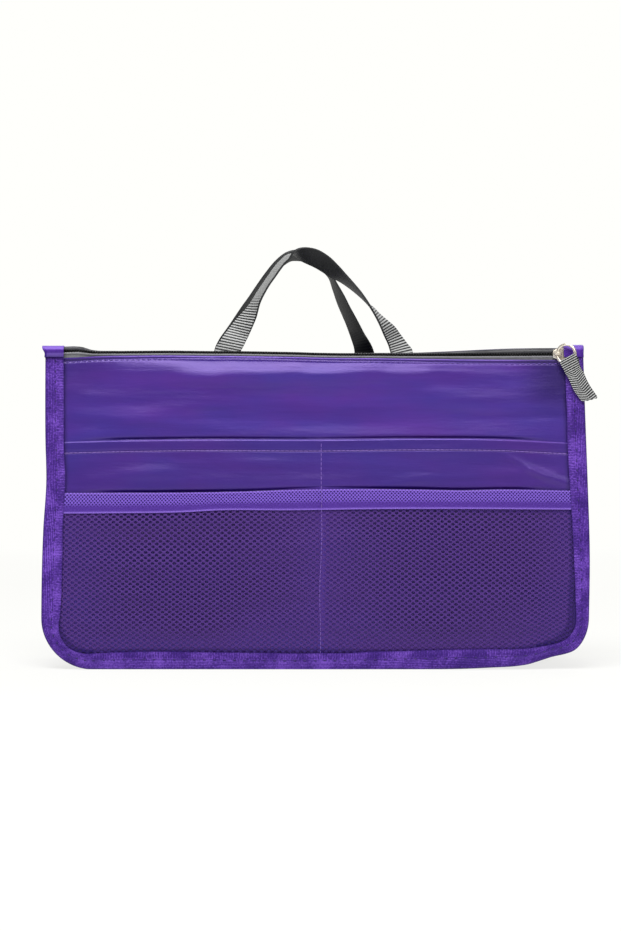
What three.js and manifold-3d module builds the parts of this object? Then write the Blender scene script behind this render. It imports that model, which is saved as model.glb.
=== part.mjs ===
// A soft purse organizer: two flat zipped pouches joined by a folded gusset round an open main compartment,
// with bound edges, slip and mesh pockets, and two webbing handles.
// Millimetres, +Z up. X runs across the front, the front faces -Y, and z = 0 is the table it stands on.

import * as THREE from "three";
import { mergeVertices } from "three/addons/utils/BufferGeometryUtils.js";
import Module from "manifold-3d";

const wasm = await Module();
wasm.setup();

// Overall sizes
const bodyWidth = 288; // over the bound edges
const bodyHeight = 172.5; // from the table to the folded ends of the binding
const cornerRadius = 27; // at the two bottom corners
const gussetWidth = 74; // seam to seam, the full width of the side and bottom strip
const pouchLean = 4; // degrees that each pouch leans in at rest
const gussetTopDrop = 7; // the gusset's hem lies this far below the top
const gussetCrest = 0.12; // half width of the gusset's fold, as a share of half its width
const gussetSteps = 6; // facets up its straight side

// Cloth
const fabric = 0.35; // nylon
const layerGap = 0.15; // between two layers sewn together
const seatGap = 0.3; // between pieces that only meet

// Edge binding: woven tape folded over the edge
const bindingWidth = 10;
const bindingTape = 0.5;
const bindingFoldRadius = 1.3;
const bindingEndFold = 6; // turned-in end at the top
const edgeInset = 1.6; // cloth edges end this far inside the fold

// Pockets
const slipPocketHeight = 122;
const meshBandTop = 94.7;
const meshBandWidth = 11;
const meshBandStandOff = 0.35; // the folded band stands this much in front of the net
const netThickness = 0.5;
const netColumns = 12; // gaps across each half
const netRows = 8;
const netStrand = 2.2;
const netMargin = 1.5;
const netCentreStrip = 4; // closed where the centre stitch line runs
const innerPocketHeight = 105;
const innerPocketInset = 13;

// Zip
const coilPitch = 2;
const coilHalfWidth = 1.6;
const coilThickness = 1.2;
const toothDepth = 1.1;
const toothGap = 0.25; // measured across the chain
const coilEndInset = 3; // the coil's ends lie under the binding
const bendSteps = 8; // facets where the chain parts
const backSteps = 30; // facets along a coil's back
const zipTape = 0.4;
const tapeUnderHem = 6;
const tapeTurn = 0.75; // height in which the upper tape turns back to the inner panel

// Slider
const sliderLength = 8.8;
const sliderPlate = 0.8;
const sliderClearance = 0.15;
const flangeWidth = 0.55;
const tapeSlot = 0.7;
const postHalfWidth = 0.55;
const postLength = 2.6;
const bridgeLength = 6;
const bridgeWidth = 1.9;
const bridgeBar = 0.8;

// Pull ring and tab
const ringRadius = 5; // to the middle of the wire
const ringWire = 1.3;
const ringPlay = 0.25;
const ringTilt = 25; // degrees that the ring stands off the zip
const ringDrop = 0.4;
const tabAngle = -65; // degrees round the ring, from +X, where the tab hangs
const tabTilt = 12; // degrees that the tab lies back towards the edge
const tabWebbing = 0.9;
const tabPlay = 0.6; // round the ring's wire
const tabLength = 22.7; // below the ring's wire
const tabTopWidth = 5.2;
const tabEndWidth = 9.2;
const tabNeck = 5; // length in which the tab comes to its full width

// Handles
const strapWidth = 12.2;
const strapThickness = 1.2;
const handleSpan = { front: 91, rear: 77 };
const handleShift = { front: 0, rear: 11.3 };
const handleRise = { front: 48.7, rear: 51.6 }; // from the top edge to the middle of the strap
const sewnLength = 24;
const handleTwist = -126; // degrees that the strap has turned when it has turned most
const handleTwistLag = 1.2; // above 1 it has turned most a little after the middle
const handleTwistStart = 25; // length at each end in which the turn sets in
const handleStations = 28;

const arcSteps = 8; // facets in a quarter circle
const radians = THREE.MathUtils.degToRad;

// Where the layers of a pouch lie, along its own Y, from the front to the main compartment
const outerPanelBack = fabric;
const slipBack = -layerGap;
const slipFront = slipBack - fabric;
const netBack = slipFront - layerGap;
const netFront = netBack - netThickness;
const bindingFront = netFront - layerGap - bindingTape;
const zipPlane = outerPanelBack + layerGap + zipTape / 2;
const plateInside = coilThickness / 2 + sliderClearance;
const plateOutside = plateInside + sliderPlate;
const innerPanelFront = zipPlane + plateOutside + seatGap;
const innerPanelBack = innerPanelFront + fabric;
const bindingBack = innerPanelBack + layerGap + bindingTape;
const strapPlane = innerPanelBack + seatGap + strapThickness / 2;

// Heights and places that follow from them
const halfWidth = bodyWidth / 2;
const chainSpread = postHalfWidth + sliderClearance + toothDepth / 2 - toothGap / 2;
const tailHalfWidth = coilHalfWidth + sliderClearance + flangeWidth;
const noseHalfWidth = tailHalfWidth + chainSpread;
const innerPanelTop = bodyHeight - seatGap;
const zipHeight = innerPanelTop - tapeTurn - noseHalfWidth;
const hemTop = zipHeight - noseHalfWidth - sliderClearance;
const sliderPlace = halfWidth - bindingWidth - seatGap - sliderLength / 2;
const coilEnd = halfWidth - coilEndInset;
const wireHeight = plateOutside + ringWire + ringPlay; // above the chain's middle plane
const bridgeInside = wireHeight + ringWire / 2 + ringPlay;
const hingeHeight = innerPanelTop + strapThickness / 2 + 2 * seatGap;
const foldGap = 0.6 * strapThickness; // leaves a handle room to fold over its sewn ends

// The bottom seam, where the gusset meets a pouch, in the pouch's own frame and in the world
const seamHeight = bindingWidth + 2 * seatGap;
const leanAngle = radians(pouchLean);
const pouchDrop = (bindingFront + bindingFoldRadius) * Math.sin(leanAngle);
const seamWorldZ =
  seamHeight * Math.cos(leanAngle) - innerPanelBack * Math.sin(leanAngle) + pouchDrop;
const pouchPlace = new THREE.Vector3(
  0,
  -gussetWidth / 2 - innerPanelBack * Math.cos(leanAngle) - seamHeight * Math.sin(leanAngle),
  pouchDrop,
);

function finish(colour, roughness, metalness = 0) {
  return new THREE.MeshStandardMaterial({ color: colour, roughness, metalness });
}

const finishes = {
  nylon: () => finish(0x503591, 0.45),
  net: () => finish(0x462c6e, 0.7),
  band: () => finish(0x6a4eab, 0.75),
  binding: () => finish(0x5c399a, 0.7),
  zipTape: () => finish(0x5b5a62, 0.8),
  coil: () => finish(0x232326, 0.4),
  metal: () => finish(0xcfc6b2, 0.25, 1),
  webbing: () => finish(0x55565a, 0.8),
};

// A solid from points and triangles, turned so that its faces point out
function closedGeometry(points, triangles) {
  const volume = triangles.reduce((sum, [a, b, c]) => {
    const cross = new THREE.Vector3().crossVectors(points[b], points[c]);
    return sum + points[a].dot(cross);
  }, 0);
  const turned = volume < 0 ? triangles.map(([a, b, c]) => [a, c, b]) : triangles;
  const geometry = new THREE.BufferGeometry().setFromPoints(points);
  return geometry.setIndex(turned.flat());
}

// A skin through rings of points, closed by a cap at each end
function loft(rings, section) {
  const count = section.length;
  const last = (rings.length - 1) * count;
  const triangles = [];
  for (let start = 0; start < last; start += count) {
    for (let i = 0; i < count; i++) {
      const a = start + i;
      const b = start + ((i + 1) % count);
      triangles.push([a, b, b + count], [a, b + count, a + count]);
    }
  }
  const clockwise = THREE.ShapeUtils.isClockWise(section);
  THREE.ShapeUtils.triangulateShape(section, []).forEach(([a, b, c]) => {
    const [p, q] = clockwise ? [c, b] : [b, c];
    triangles.push([a, q, p], [last + a, last + p, last + q]);
  });
  return closedGeometry(rings.flat(), triangles);
}

// A sheet of cloth between two grids of points
function sheet(front, back) {
  const rows = front.length;
  const columns = front[0].length;
  const other = rows * columns;
  const triangles = [];
  const quad = (a, b, c, d) => triangles.push([a, b, c], [a, c, d]);
  const at = (row, column) => row * columns + column;
  for (let r = 0; r + 1 < rows; r++) {
    for (let c = 0; c + 1 < columns; c++) {
      const [p, q, s, t] = [at(r, c), at(r, c + 1), at(r + 1, c + 1), at(r + 1, c)];
      quad(p, q, s, t);
      // both walls are split along the same diagonal, so they stay parallel
      quad(...[p, t, s, q].map((i) => i + other));
    }
    quad(at(r + 1, 0), at(r + 1, 0) + other, at(r, 0) + other, at(r, 0));
    const end = columns - 1;
    quad(at(r, end), at(r, end) + other, at(r + 1, end) + other, at(r + 1, end));
  }
  for (let c = 0; c + 1 < columns; c++) {
    quad(at(0, c), at(0, c) + other, at(0, c + 1) + other, at(0, c + 1));
    const end = rows - 1;
    quad(at(end, c + 1), at(end, c + 1) + other, at(end, c) + other, at(end, c));
  }
  return closedGeometry([...front.flat(), ...back.flat()], triangles);
}

// An outline in X and Z given thickness along Y
function plate(shape, front, back) {
  const geometry = new THREE.ExtrudeGeometry(shape, {
    depth: back - front,
    bevelEnabled: false,
    curveSegments: arcSteps,
  });
  return geometry.rotateX(Math.PI / 2).translate(0, back, 0);
}

function outlineShape(pairs) {
  return new THREE.Shape(pairs.map(([x, z]) => new THREE.Vector2(x, z)));
}

function toSolid(geometry) {
  const bare = geometry.clone();
  bare.deleteAttribute("normal");
  bare.deleteAttribute("uv");
  const merged = mergeVertices(bare);
  return new wasm.Manifold(
    new wasm.Mesh({
      numProp: 3,
      vertProperties: new Float32Array(merged.attributes.position.array),
      triVerts: new Uint32Array(merged.index.array),
    }),
  );
}

function fromSolid(solid) {
  const { vertProperties, triVerts } = solid.getMesh();
  const geometry = new THREE.BufferGeometry();
  geometry.setAttribute("position", new THREE.BufferAttribute(vertProperties, 3));
  return geometry.setIndex(new THREE.BufferAttribute(triVerts, 1));
}

function addMesh(group, name, geometry, material) {
  const mesh = new THREE.Mesh(geometry, material);
  mesh.name = name;
  group.add(mesh);
  return mesh;
}

// The outline of a pouch inside its bound edge: straight sides, round bottom corners, level top
function panelShape(inset, top) {
  const half = halfWidth - inset;
  const radius = cornerRadius - inset;
  const shape = new THREE.Shape();
  shape.moveTo(-half, top);
  shape.lineTo(-half, cornerRadius);
  shape.absarc(-half + radius, cornerRadius, radius, Math.PI, 1.5 * Math.PI);
  shape.absarc(half - radius, cornerRadius, radius, 1.5 * Math.PI, 2 * Math.PI);
  shape.lineTo(half, top);
  return shape;
}

// Stations along the pouch's edge, from the left top round the bottom to the right top: a point on the edge,
// the direction inwards, and whether the tape is doubled there
function edgeStations() {
  const stations = [];
  const sideHeights = [
    [bodyHeight, true],
    [bodyHeight - bindingEndFold, true],
    [bodyHeight - bindingEndFold - bindingTape, false],
  ];
  const corner = (centreX, from) => {
    for (let i = 0; i <= arcSteps; i++) {
      const angle = from + (i / arcSteps) * (Math.PI / 2);
      const inward = new THREE.Vector2(-Math.cos(angle), -Math.sin(angle));
      const edge = new THREE.Vector2(centreX, cornerRadius).addScaledVector(inward, -cornerRadius);
      stations.push({ edge, inward, doubled: false });
    }
  };
  sideHeights.forEach(([z, doubled]) => {
    stations.push({ edge: new THREE.Vector2(-halfWidth, z), inward: new THREE.Vector2(1, 0), doubled });
  });
  corner(-halfWidth + cornerRadius, Math.PI);
  corner(halfWidth - cornerRadius, 1.5 * Math.PI);
  sideHeights.reverse().forEach(([z, doubled]) => {
    stations.push({ edge: new THREE.Vector2(halfWidth, z), inward: new THREE.Vector2(-1, 0), doubled });
  });
  return stations;
}

// The section of the folded tape, as distances inwards from the edge and places along Y
function bindingSection(doubled) {
  const thicker = doubled ? bindingTape : 0;
  const front = bindingFront - thicker;
  const back = bindingBack + thicker;
  const fold = bindingFoldRadius;
  const bevel = fold * (1 - Math.SQRT1_2);
  const outside = [
    [bindingWidth, front],
    [fold, front],
    [bevel, front + bevel],
    [0, front + fold],
    [0, back - fold],
    [bevel, back - bevel],
    [fold, back],
    [bindingWidth, back],
  ];
  const insideFront = bindingFront + bindingTape;
  const insideBack = bindingBack - bindingTape;
  const inside = [
    [bindingWidth, insideBack],
    [fold, insideBack],
    [bindingTape, bindingBack - fold],
    [bindingTape, bindingFront + fold],
    [fold, insideFront],
    [bindingWidth, insideFront],
  ];
  return [...outside, ...inside];
}

// The table, in the frame of a pouch
function tableBelow(pouch) {
  const depth = 10;
  pouch.updateMatrix();
  const table = new THREE.BoxGeometry(2 * bodyWidth, 2 * gussetWidth, depth);
  table.translate(0, -gussetWidth / 2, -depth / 2);
  return table.applyMatrix4(pouch.matrix.clone().invert());
}

// The folded tape round the sides and the bottom, pressed flat where it stands on the table
function bindingGeometry(pouch) {
  const rings = edgeStations().map(({ edge, inward, doubled }) =>
    bindingSection(doubled).map(([depth, y]) => {
      const at = edge.clone().addScaledVector(inward, depth);
      return new THREE.Vector3(at.x, y, at.y);
    }),
  );
  const section = bindingSection(true).map(([depth, y]) => new THREE.Vector2(depth, y));
  return fromSolid(toSolid(loft(rings, section)).subtract(toSolid(tableBelow(pouch))));
}

// The net of the mesh pocket: staggered diamond gaps in two halves
function netGeometry() {
  const top = meshBandTop - meshBandWidth - seatGap;
  const shape = panelShape(edgeInset, top);
  const left = netCentreStrip / 2;
  const right = halfWidth - bindingWidth - netMargin;
  const low = bindingWidth + netMargin;
  const width = (right - left) / (netColumns + 0.5);
  const height = (top - netMargin - low) / (netRows + 1);
  const reach = [width - netStrand, 2 * height - netStrand].map((gap) => gap / 2);
  const cornerX = halfWidth - cornerRadius;
  const openRadius = cornerRadius - bindingWidth;
  for (const side of [-1, 1]) {
    for (let row = 0; row < netRows; row++) {
      for (let column = 0; column < netColumns; column++) {
        const x = left + width * (column + 0.5 + (row % 2) / 2);
        const z = low + height * (row + 1);
        const past = Math.hypot(Math.max(0, x + reach[0] - cornerX), Math.max(0, cornerRadius - z + reach[1]));
        if (past > openRadius) continue;
        const gap = new THREE.Path();
        gap.moveTo(side * x - reach[0], z);
        gap.lineTo(side * x, z - reach[1]);
        gap.lineTo(side * x + reach[0], z);
        gap.lineTo(side * x, z + reach[1]);
        shape.holes.push(gap);
      }
    }
  }
  return plate(shape, netFront, netBack);
}

// The woven band folded over the top of the net, round along its upper fold
function meshBandGeometry() {
  const front = netFront - meshBandStandOff;
  const fold = (netBack - front) / 2;
  const half = halfWidth - bindingWidth - seatGap;
  const shape = new THREE.Shape();
  shape.moveTo(front, meshBandTop - meshBandWidth);
  shape.lineTo(netBack, meshBandTop - meshBandWidth);
  shape.lineTo(netBack, meshBandTop - fold);
  shape.absarc(netBack - fold, meshBandTop - fold, fold, 0, Math.PI);
  const geometry = new THREE.ExtrudeGeometry(shape, {
    depth: 2 * half,
    bevelEnabled: false,
    curveSegments: arcSteps / 2,
  });
  const axes = new THREE.Matrix4().makeBasis(
    new THREE.Vector3(0, 1, 0),
    new THREE.Vector3(0, 0, 1),
    new THREE.Vector3(1, 0, 0),
  );
  return geometry.applyMatrix4(axes).translate(-half, 0, 0);
}

// How far each half of the chain stands off its middle line: closed, then parted round the slider's post
function spreadAt(x) {
  const from = sliderPlace - sliderLength / 4;
  const to = sliderPlace + sliderLength / 2 - postLength;
  return chainSpread * THREE.MathUtils.smoothstep(x, from, to);
}

// Where the chain's edges bend as they part
function chainBends() {
  const tail = sliderPlace - sliderLength / 2;
  return Array.from({ length: bendSteps + 1 }, (_, i) => tail + (sliderLength * i) / bendSteps);
}

// One side of the coil: a comb whose teeth lie between those of the other side
function coilGeometry(side) {
  const count = Math.round((4 * coilEnd) / coilPitch);
  const teeth = Array.from({ length: count + 1 }, (_, i) => {
    const x = -coilEnd + (2 * coilEnd * i) / count;
    const wave = ((i % 2) - 0.5) * toothDepth;
    return [x, zipHeight + wave + side * (toothGap / 2 + spreadAt(x))];
  });
  const bends = chainBends();
  const plain = Array.from({ length: backSteps }, (_, i) => (i * (bends[0] + coilEnd)) / backSteps - coilEnd);
  const backs = [...plain, ...bends, coilEnd].map((x) => [
    x,
    zipHeight + side * (coilHalfWidth + spreadAt(x)),
  ]);
  const shape = outlineShape([...teeth, ...backs.reverse()]);
  return plate(shape, zipPlane - coilThickness / 2, zipPlane + coilThickness / 2);
}

function tapeXs() {
  const half = halfWidth - edgeInset;
  return [-half, ...chainBends(), half];
}

function tapeEdge(x) {
  return coilHalfWidth + sliderClearance + spreadAt(x);
}

// The lower tape runs down behind the hem of the outer panel
function outerTapeGeometry() {
  const top = tapeXs().map((x) => [x, zipHeight - tapeEdge(x)]);
  const low = hemTop - tapeUnderHem;
  const half = halfWidth - edgeInset;
  const shape = outlineShape([[half, low], [-half, low], ...top]);
  return plate(shape, zipPlane - zipTape / 2, zipPlane + zipTape / 2);
}

// The upper tape turns back to the top of the inner panel
function innerTapeGeometry() {
  const turn = innerPanelTop - tapeTurn + sliderClearance;
  const rows = (outwards) =>
    tapeXs().map((x) => [
      new THREE.Vector3(x, zipPlane - (outwards * zipTape) / 2, zipHeight + tapeEdge(x)),
      new THREE.Vector3(x, zipPlane - (outwards * zipTape) / 2, turn),
      new THREE.Vector3(x, innerPanelFront - layerGap, innerPanelTop + ((outwards - 1) * zipTape) / 2),
    ]);
  return sheet(rows(1), rows(-1));
}

// The slider: two plates with flanges that hold the chain, a post that parts it and a bridge for the ring.
// Along X it points with its nose to the closed end; its outer side faces -Y.
function sliderGeometry() {
  const tail = -sliderLength / 2;
  const nose = sliderLength / 2;
  const bend = nose - postLength;
  const rounding = flangeWidth;
  const half = [
    [tail, tailHalfWidth - rounding],
    [tail + rounding, tailHalfWidth],
    [tail + 2 * rounding, tailHalfWidth],
    [bend, noseHalfWidth],
    [nose - rounding, noseHalfWidth],
    [nose, noseHalfWidth - rounding],
  ];
  const mirrored = (pairs) => [...pairs, ...pairs.map(([x, z]) => [x, -z]).reverse()];
  const outline = outlineShape(mirrored(half));
  const inner = (x) => (x < bend ? tailHalfWidth : noseHalfWidth) - flangeWidth;
  const channel = [
    [tail - rounding, inner(tail)],
    [tail + 2 * rounding, inner(tail)],
    [bend, inner(nose)],
    [nose + rounding, inner(nose)],
  ];
  const channelCut = toSolid(plate(outlineShape(mirrored(channel)), -plateInside, plateInside));
  const slot = outlineShape(mirrored([[2 * tail, 2 * noseHalfWidth], [2 * nose, 2 * noseHalfWidth]]));
  const slotCut = toSolid(plate(slot, -tapeSlot / 2, tapeSlot / 2));
  const post = outlineShape(
    mirrored([
      [bend, postHalfWidth / 3],
      [nose - 2 * rounding, postHalfWidth],
      [nose - rounding / 2, postHalfWidth],
    ]),
  );
  const shell = toSolid(plate(outline, -plateOutside, plateOutside)).subtract(channelCut).subtract(slotCut);
  const joined = shell.add(toSolid(plate(post, -plateOutside, plateOutside)));
  return fromSolid(joined.add(toSolid(bridgeGeometry())));
}

// The bridge: a low arch along the slider with the ring's opening under it
function bridgeGeometry() {
  const half = bridgeLength / 2;
  const foot = plateOutside - sliderPlate / 2;
  const top = bridgeInside + bridgeBar;
  const shoulder = bridgeBar;
  const shape = outlineShape([
    [-half, foot],
    [half, foot],
    [half, top - shoulder],
    [half - shoulder, top],
    [shoulder - half, top],
    [-half, top - shoulder],
  ]);
  const opening = new THREE.Path();
  opening.moveTo(bridgeBar - half, plateOutside);
  opening.lineTo(half - bridgeBar, plateOutside);
  opening.lineTo(half - bridgeBar, bridgeInside);
  opening.lineTo(bridgeBar - half, bridgeInside);
  shape.holes.push(opening);
  const geometry = new THREE.ExtrudeGeometry(shape, { depth: bridgeWidth, bevelEnabled: false });
  const axes = new THREE.Matrix4().makeBasis(
    new THREE.Vector3(1, 0, 0),
    new THREE.Vector3(0, -1, 0),
    new THREE.Vector3(0, 0, -1),
  );
  return geometry.applyMatrix4(axes).translate(0, 0, bridgeWidth / 2);
}

function ringGeometry() {
  return new THREE.TorusGeometry(ringRadius, ringWire / 2, 6, 24).rotateX(Math.PI / 2);
}

// The tab: webbing folded round the ring's wire and sewn to itself. X runs down the tab from the wire.
function tabGeometry() {
  const arc = ringRadius - Math.sqrt(ringRadius ** 2 - (tabTopWidth / 2) ** 2);
  const eye = ringWire / 2 + tabPlay;
  const top = -arc - eye;
  const round = eye + tabWebbing;
  const shape = new THREE.Shape();
  shape.moveTo(tabLength, -tabWebbing);
  shape.lineTo(tabLength, tabWebbing);
  shape.lineTo(tabNeck, tabWebbing);
  shape.lineTo(eye, round);
  shape.absarc(top + eye, 0, round, Math.PI / 2, 1.5 * Math.PI);
  shape.lineTo(eye, -round);
  shape.lineTo(tabNeck, -tabWebbing);
  const hole = new THREE.Path();
  hole.absarc(0, 0, eye, -Math.PI / 2, Math.PI / 2);
  hole.absarc(top + eye, 0, eye, Math.PI / 2, 1.5 * Math.PI);
  shape.holes.push(hole);
  const geometry = new THREE.ExtrudeGeometry(shape, {
    depth: 1,
    bevelEnabled: false,
    curveSegments: arcSteps,
  });
  geometry.translate(0, 0, -0.5);
  const place = geometry.getAttribute("position");
  for (let i = 0; i < place.count; i++) {
    const full = THREE.MathUtils.smoothstep(place.getX(i), 0, tabNeck);
    place.setZ(i, place.getZ(i) * THREE.MathUtils.lerp(tabTopWidth, tabEndWidth, full));
  }
  return geometry;
}

// The middle line of a handle's arch, as shares of its half span and of its rise
function handleCurve(place) {
  const half = handleSpan[place] / 2;
  const shares = [
    [-1, 0],
    [-0.8, 0.32],
    [-0.58, 0.66],
    [-0.44, 0.86],
    [-0.3, 0.97],
    [-0.1, 1],
    [0.08, 0.94],
    [0.32, 0.77],
    [0.6, 0.49],
    [0.86, 0.2],
    [1, 0],
  ];
  const points = shares.map(
    ([across, up]) =>
      new THREE.Vector3(handleShift[place] + across * half, strapPlane, hingeHeight + up * handleRise[place]),
  );
  return new THREE.CatmullRomCurve3(points, false, "centripetal");
}

// The strap's four corners at a point of its line, turned about the line by the twist
function strapRing(at, along, twist) {
  const depth = new THREE.Vector3(0, 1, 0);
  const across = new THREE.Vector3().crossVectors(depth, along).normalize();
  const wide = across.multiplyScalar(Math.cos(twist)).addScaledVector(depth, Math.sin(twist));
  const thick = new THREE.Vector3().crossVectors(along, wide);
  return strapSection().map(({ x, y }) =>
    at.clone().addScaledVector(wide, x).addScaledVector(thick, y),
  );
}

function strapSection() {
  const [w, t] = [strapWidth / 2, strapThickness / 2];
  return [
    new THREE.Vector2(-w, -t),
    new THREE.Vector2(w, -t),
    new THREE.Vector2(w, t),
    new THREE.Vector2(-w, t),
  ];
}

// Cuts a ring of the strap level at a height, along the strap
function levelled(ring, along, height) {
  return ring.map((p) => p.clone().addScaledVector(along, (height - p.z) / along.z));
}

// The free arch of the strap, which turns over as it rises and turns back again
function handleLoopGeometry(place) {
  const curve = handleCurve(place);
  const length = curve.getLength();
  const base = hingeHeight + foldGap / 2;
  const shares = Array.from({ length: handleStations + 1 }, (_, i) => i / handleStations);
  const rings = shares.toSpliced(-2, 1).toSpliced(1, 1).map((share) => {
    const along = curve.getTangentAt(share);
    const fromEnd = length * Math.min(share, 1 - share);
    const begun = THREE.MathUtils.smoothstep(fromEnd, 0, handleTwistStart);
    const turned = begun * Math.sin(Math.PI * share ** handleTwistLag);
    const ring = strapRing(curve.getPointAt(share), along, radians(handleTwist) * turned);
    return share % 1 ? ring : levelled(ring, along, base);
  });
  return loft(rings, strapSection());
}

// A sewn end of the strap, square to the top edge
function sewnEndGeometry(place, side) {
  const x = handleShift[place] + (side * handleSpan[place]) / 2;
  const top = hingeHeight - foldGap / 2;
  const ends = [top - sewnLength, top].map((z) => new THREE.Vector3(x, strapPlane, z));
  const up = new THREE.Vector3(0, 0, 1);
  return loft(ends.map((end) => strapRing(end, up, 0)), strapSection());
}

// The slider, its ring and its tab, each in a group that turns about its own pivot
function addPull(pouch, place) {
  const slider = new THREE.Group();
  slider.position.set(sliderPlace, zipPlane, zipHeight);
  pouch.add(slider);
  addMesh(slider, `${place}_zip_slider`, sliderGeometry(), finishes.metal());

  const ring = new THREE.Group();
  ring.position.set(0, -wireHeight, -ringDrop);
  ring.rotation.z = -radians(ringTilt);
  slider.add(ring);
  addMesh(ring, `${place}_pull_ring`, ringGeometry(), finishes.metal()).position.x = ringRadius;

  const hang = new THREE.Group();
  const angle = radians(tabAngle);
  hang.position.set(ringRadius * (1 + Math.cos(angle)), 0, ringRadius * Math.sin(angle));
  hang.rotation.y = -angle;
  ring.add(hang);
  addMesh(hang, `${place}_pull_tab`, tabGeometry(), finishes.webbing()).rotation.z = radians(tabTilt);
}

// One pouch, in its own frame: X to the right as seen from outside, Y towards the main compartment
function makePouch(place, withNet) {
  const pouch = new THREE.Group();
  pouch.position.copy(pouchPlace);
  pouch.rotation.x = -leanAngle;
  const add = (name, geometry, material) => addMesh(pouch, `${place}_${name}`, geometry, material);

  add("outer_panel", plate(panelShape(edgeInset, hemTop), 0, outerPanelBack), finishes.nylon());
  add("slip_pocket", plate(panelShape(edgeInset, slipPocketHeight), slipFront, slipBack), finishes.nylon());
  if (withNet) {
    add("mesh_pocket", netGeometry(), finishes.net());
    add("mesh_band", meshBandGeometry(), finishes.band());
  }
  const inner = plate(panelShape(edgeInset, innerPanelTop), innerPanelFront, innerPanelBack);
  add("inner_panel", inner, finishes.nylon());
  const pocketFront = innerPanelBack + layerGap;
  const pocket = plate(panelShape(innerPocketInset, innerPocketHeight), pocketFront, pocketFront + fabric);
  add("inner_pocket", pocket, finishes.nylon());
  add("binding", bindingGeometry(pouch), finishes.binding());
  add("zip_tape_outer", outerTapeGeometry(), finishes.zipTape());
  add("zip_tape_inner", innerTapeGeometry(), finishes.zipTape());
  add("zip_coil_outer", coilGeometry(-1), finishes.coil());
  add("zip_coil_inner", coilGeometry(1), finishes.coil());
  addPull(pouch, place);
  add("handle_loop", handleLoopGeometry(place), finishes.webbing());
  add("handle_end_left", sewnEndGeometry(place, -1), finishes.webbing());
  add("handle_end_right", sewnEndGeometry(place, 1), finishes.webbing());
  return pouch;
}

// The floor of the main compartment, seam to seam
function bottomStripGeometry() {
  const length = 2 * (halfWidth - cornerRadius) - 2 * seatGap;
  return new THREE.BoxGeometry(length, gussetWidth - 2 * seatGap, fabric).translate(0, 0, seamWorldZ);
}

// A side of the gusset, from the bottom strip round the corner and up. It keeps its full width, so it folds
// in more the nearer the pouches lean to each other.
function gussetGeometry(side) {
  const inset = seamHeight;
  const radius = cornerRadius - inset;
  const centreZ = seamWorldZ + radius;
  const top = bodyHeight - gussetTopDrop;
  const centreX = halfWidth - cornerRadius;
  const stations = [];
  for (let i = 0; i <= arcSteps; i++) {
    const angle = (i / arcSteps) * (Math.PI / 2);
    const out = new THREE.Vector2(Math.sin(angle), -Math.cos(angle));
    stations.push({ at: new THREE.Vector2(centreX, centreZ).addScaledVector(out, radius), out });
  }
  for (let i = 1; i <= gussetSteps; i++) {
    const z = THREE.MathUtils.lerp(centreZ, top, i / gussetSteps);
    stations.push({ at: new THREE.Vector2(centreX + radius, z), out: new THREE.Vector2(1, 0) });
  }
  const grid = (outwards) =>
    stations.map(({ at, out }) => {
      const closing = (at.y - seamWorldZ) * Math.tan(leanAngle);
      const half = gussetWidth / 2 - closing;
      const fold = Math.sqrt(Math.max(0, gussetWidth * closing - closing ** 2));
      return [-1, -gussetCrest, gussetCrest, 1].map((share) => {
        const depth = fold * (1 - Math.abs(share)) - (outwards * fabric) / 2;
        const p = at.clone().addScaledVector(out, -depth);
        return new THREE.Vector3(side * p.x, share * (half - seatGap), p.y);
      });
    });
  return sheet(grid(1), grid(-1));
}

const organizer = new THREE.Group();
organizer.add(makePouch("front", true));

const rearHalf = new THREE.Group();
rearHalf.rotation.z = Math.PI;
rearHalf.add(makePouch("rear", false));
organizer.add(rearHalf);

addMesh(organizer, "bottom_strip", bottomStripGeometry(), finishes.nylon());
addMesh(organizer, "left_gusset", gussetGeometry(-1), finishes.nylon());
addMesh(organizer, "right_gusset", gussetGeometry(1), finishes.nylon());

export default organizer;
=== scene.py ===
import math

import bpy
import numpy as np
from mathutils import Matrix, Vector


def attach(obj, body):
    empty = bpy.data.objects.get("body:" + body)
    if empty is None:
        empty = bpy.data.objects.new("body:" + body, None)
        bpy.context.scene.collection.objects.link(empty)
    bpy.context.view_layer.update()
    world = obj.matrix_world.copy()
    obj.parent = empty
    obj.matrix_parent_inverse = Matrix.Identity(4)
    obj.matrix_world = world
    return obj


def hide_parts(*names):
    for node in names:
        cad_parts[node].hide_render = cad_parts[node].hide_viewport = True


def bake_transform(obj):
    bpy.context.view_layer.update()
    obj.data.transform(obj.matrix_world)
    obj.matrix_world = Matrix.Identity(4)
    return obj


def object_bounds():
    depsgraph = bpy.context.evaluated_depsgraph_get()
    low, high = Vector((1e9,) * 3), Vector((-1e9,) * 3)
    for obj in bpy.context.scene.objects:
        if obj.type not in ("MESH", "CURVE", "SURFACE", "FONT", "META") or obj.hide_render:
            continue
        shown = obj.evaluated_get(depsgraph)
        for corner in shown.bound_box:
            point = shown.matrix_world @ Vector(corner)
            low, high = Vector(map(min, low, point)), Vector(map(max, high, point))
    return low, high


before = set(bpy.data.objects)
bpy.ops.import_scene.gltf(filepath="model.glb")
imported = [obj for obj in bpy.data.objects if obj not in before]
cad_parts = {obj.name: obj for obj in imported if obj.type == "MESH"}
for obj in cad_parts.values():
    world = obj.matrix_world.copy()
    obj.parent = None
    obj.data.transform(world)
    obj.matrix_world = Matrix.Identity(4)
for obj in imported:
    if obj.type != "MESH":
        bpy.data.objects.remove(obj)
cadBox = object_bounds()
mm = 0.001

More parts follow.
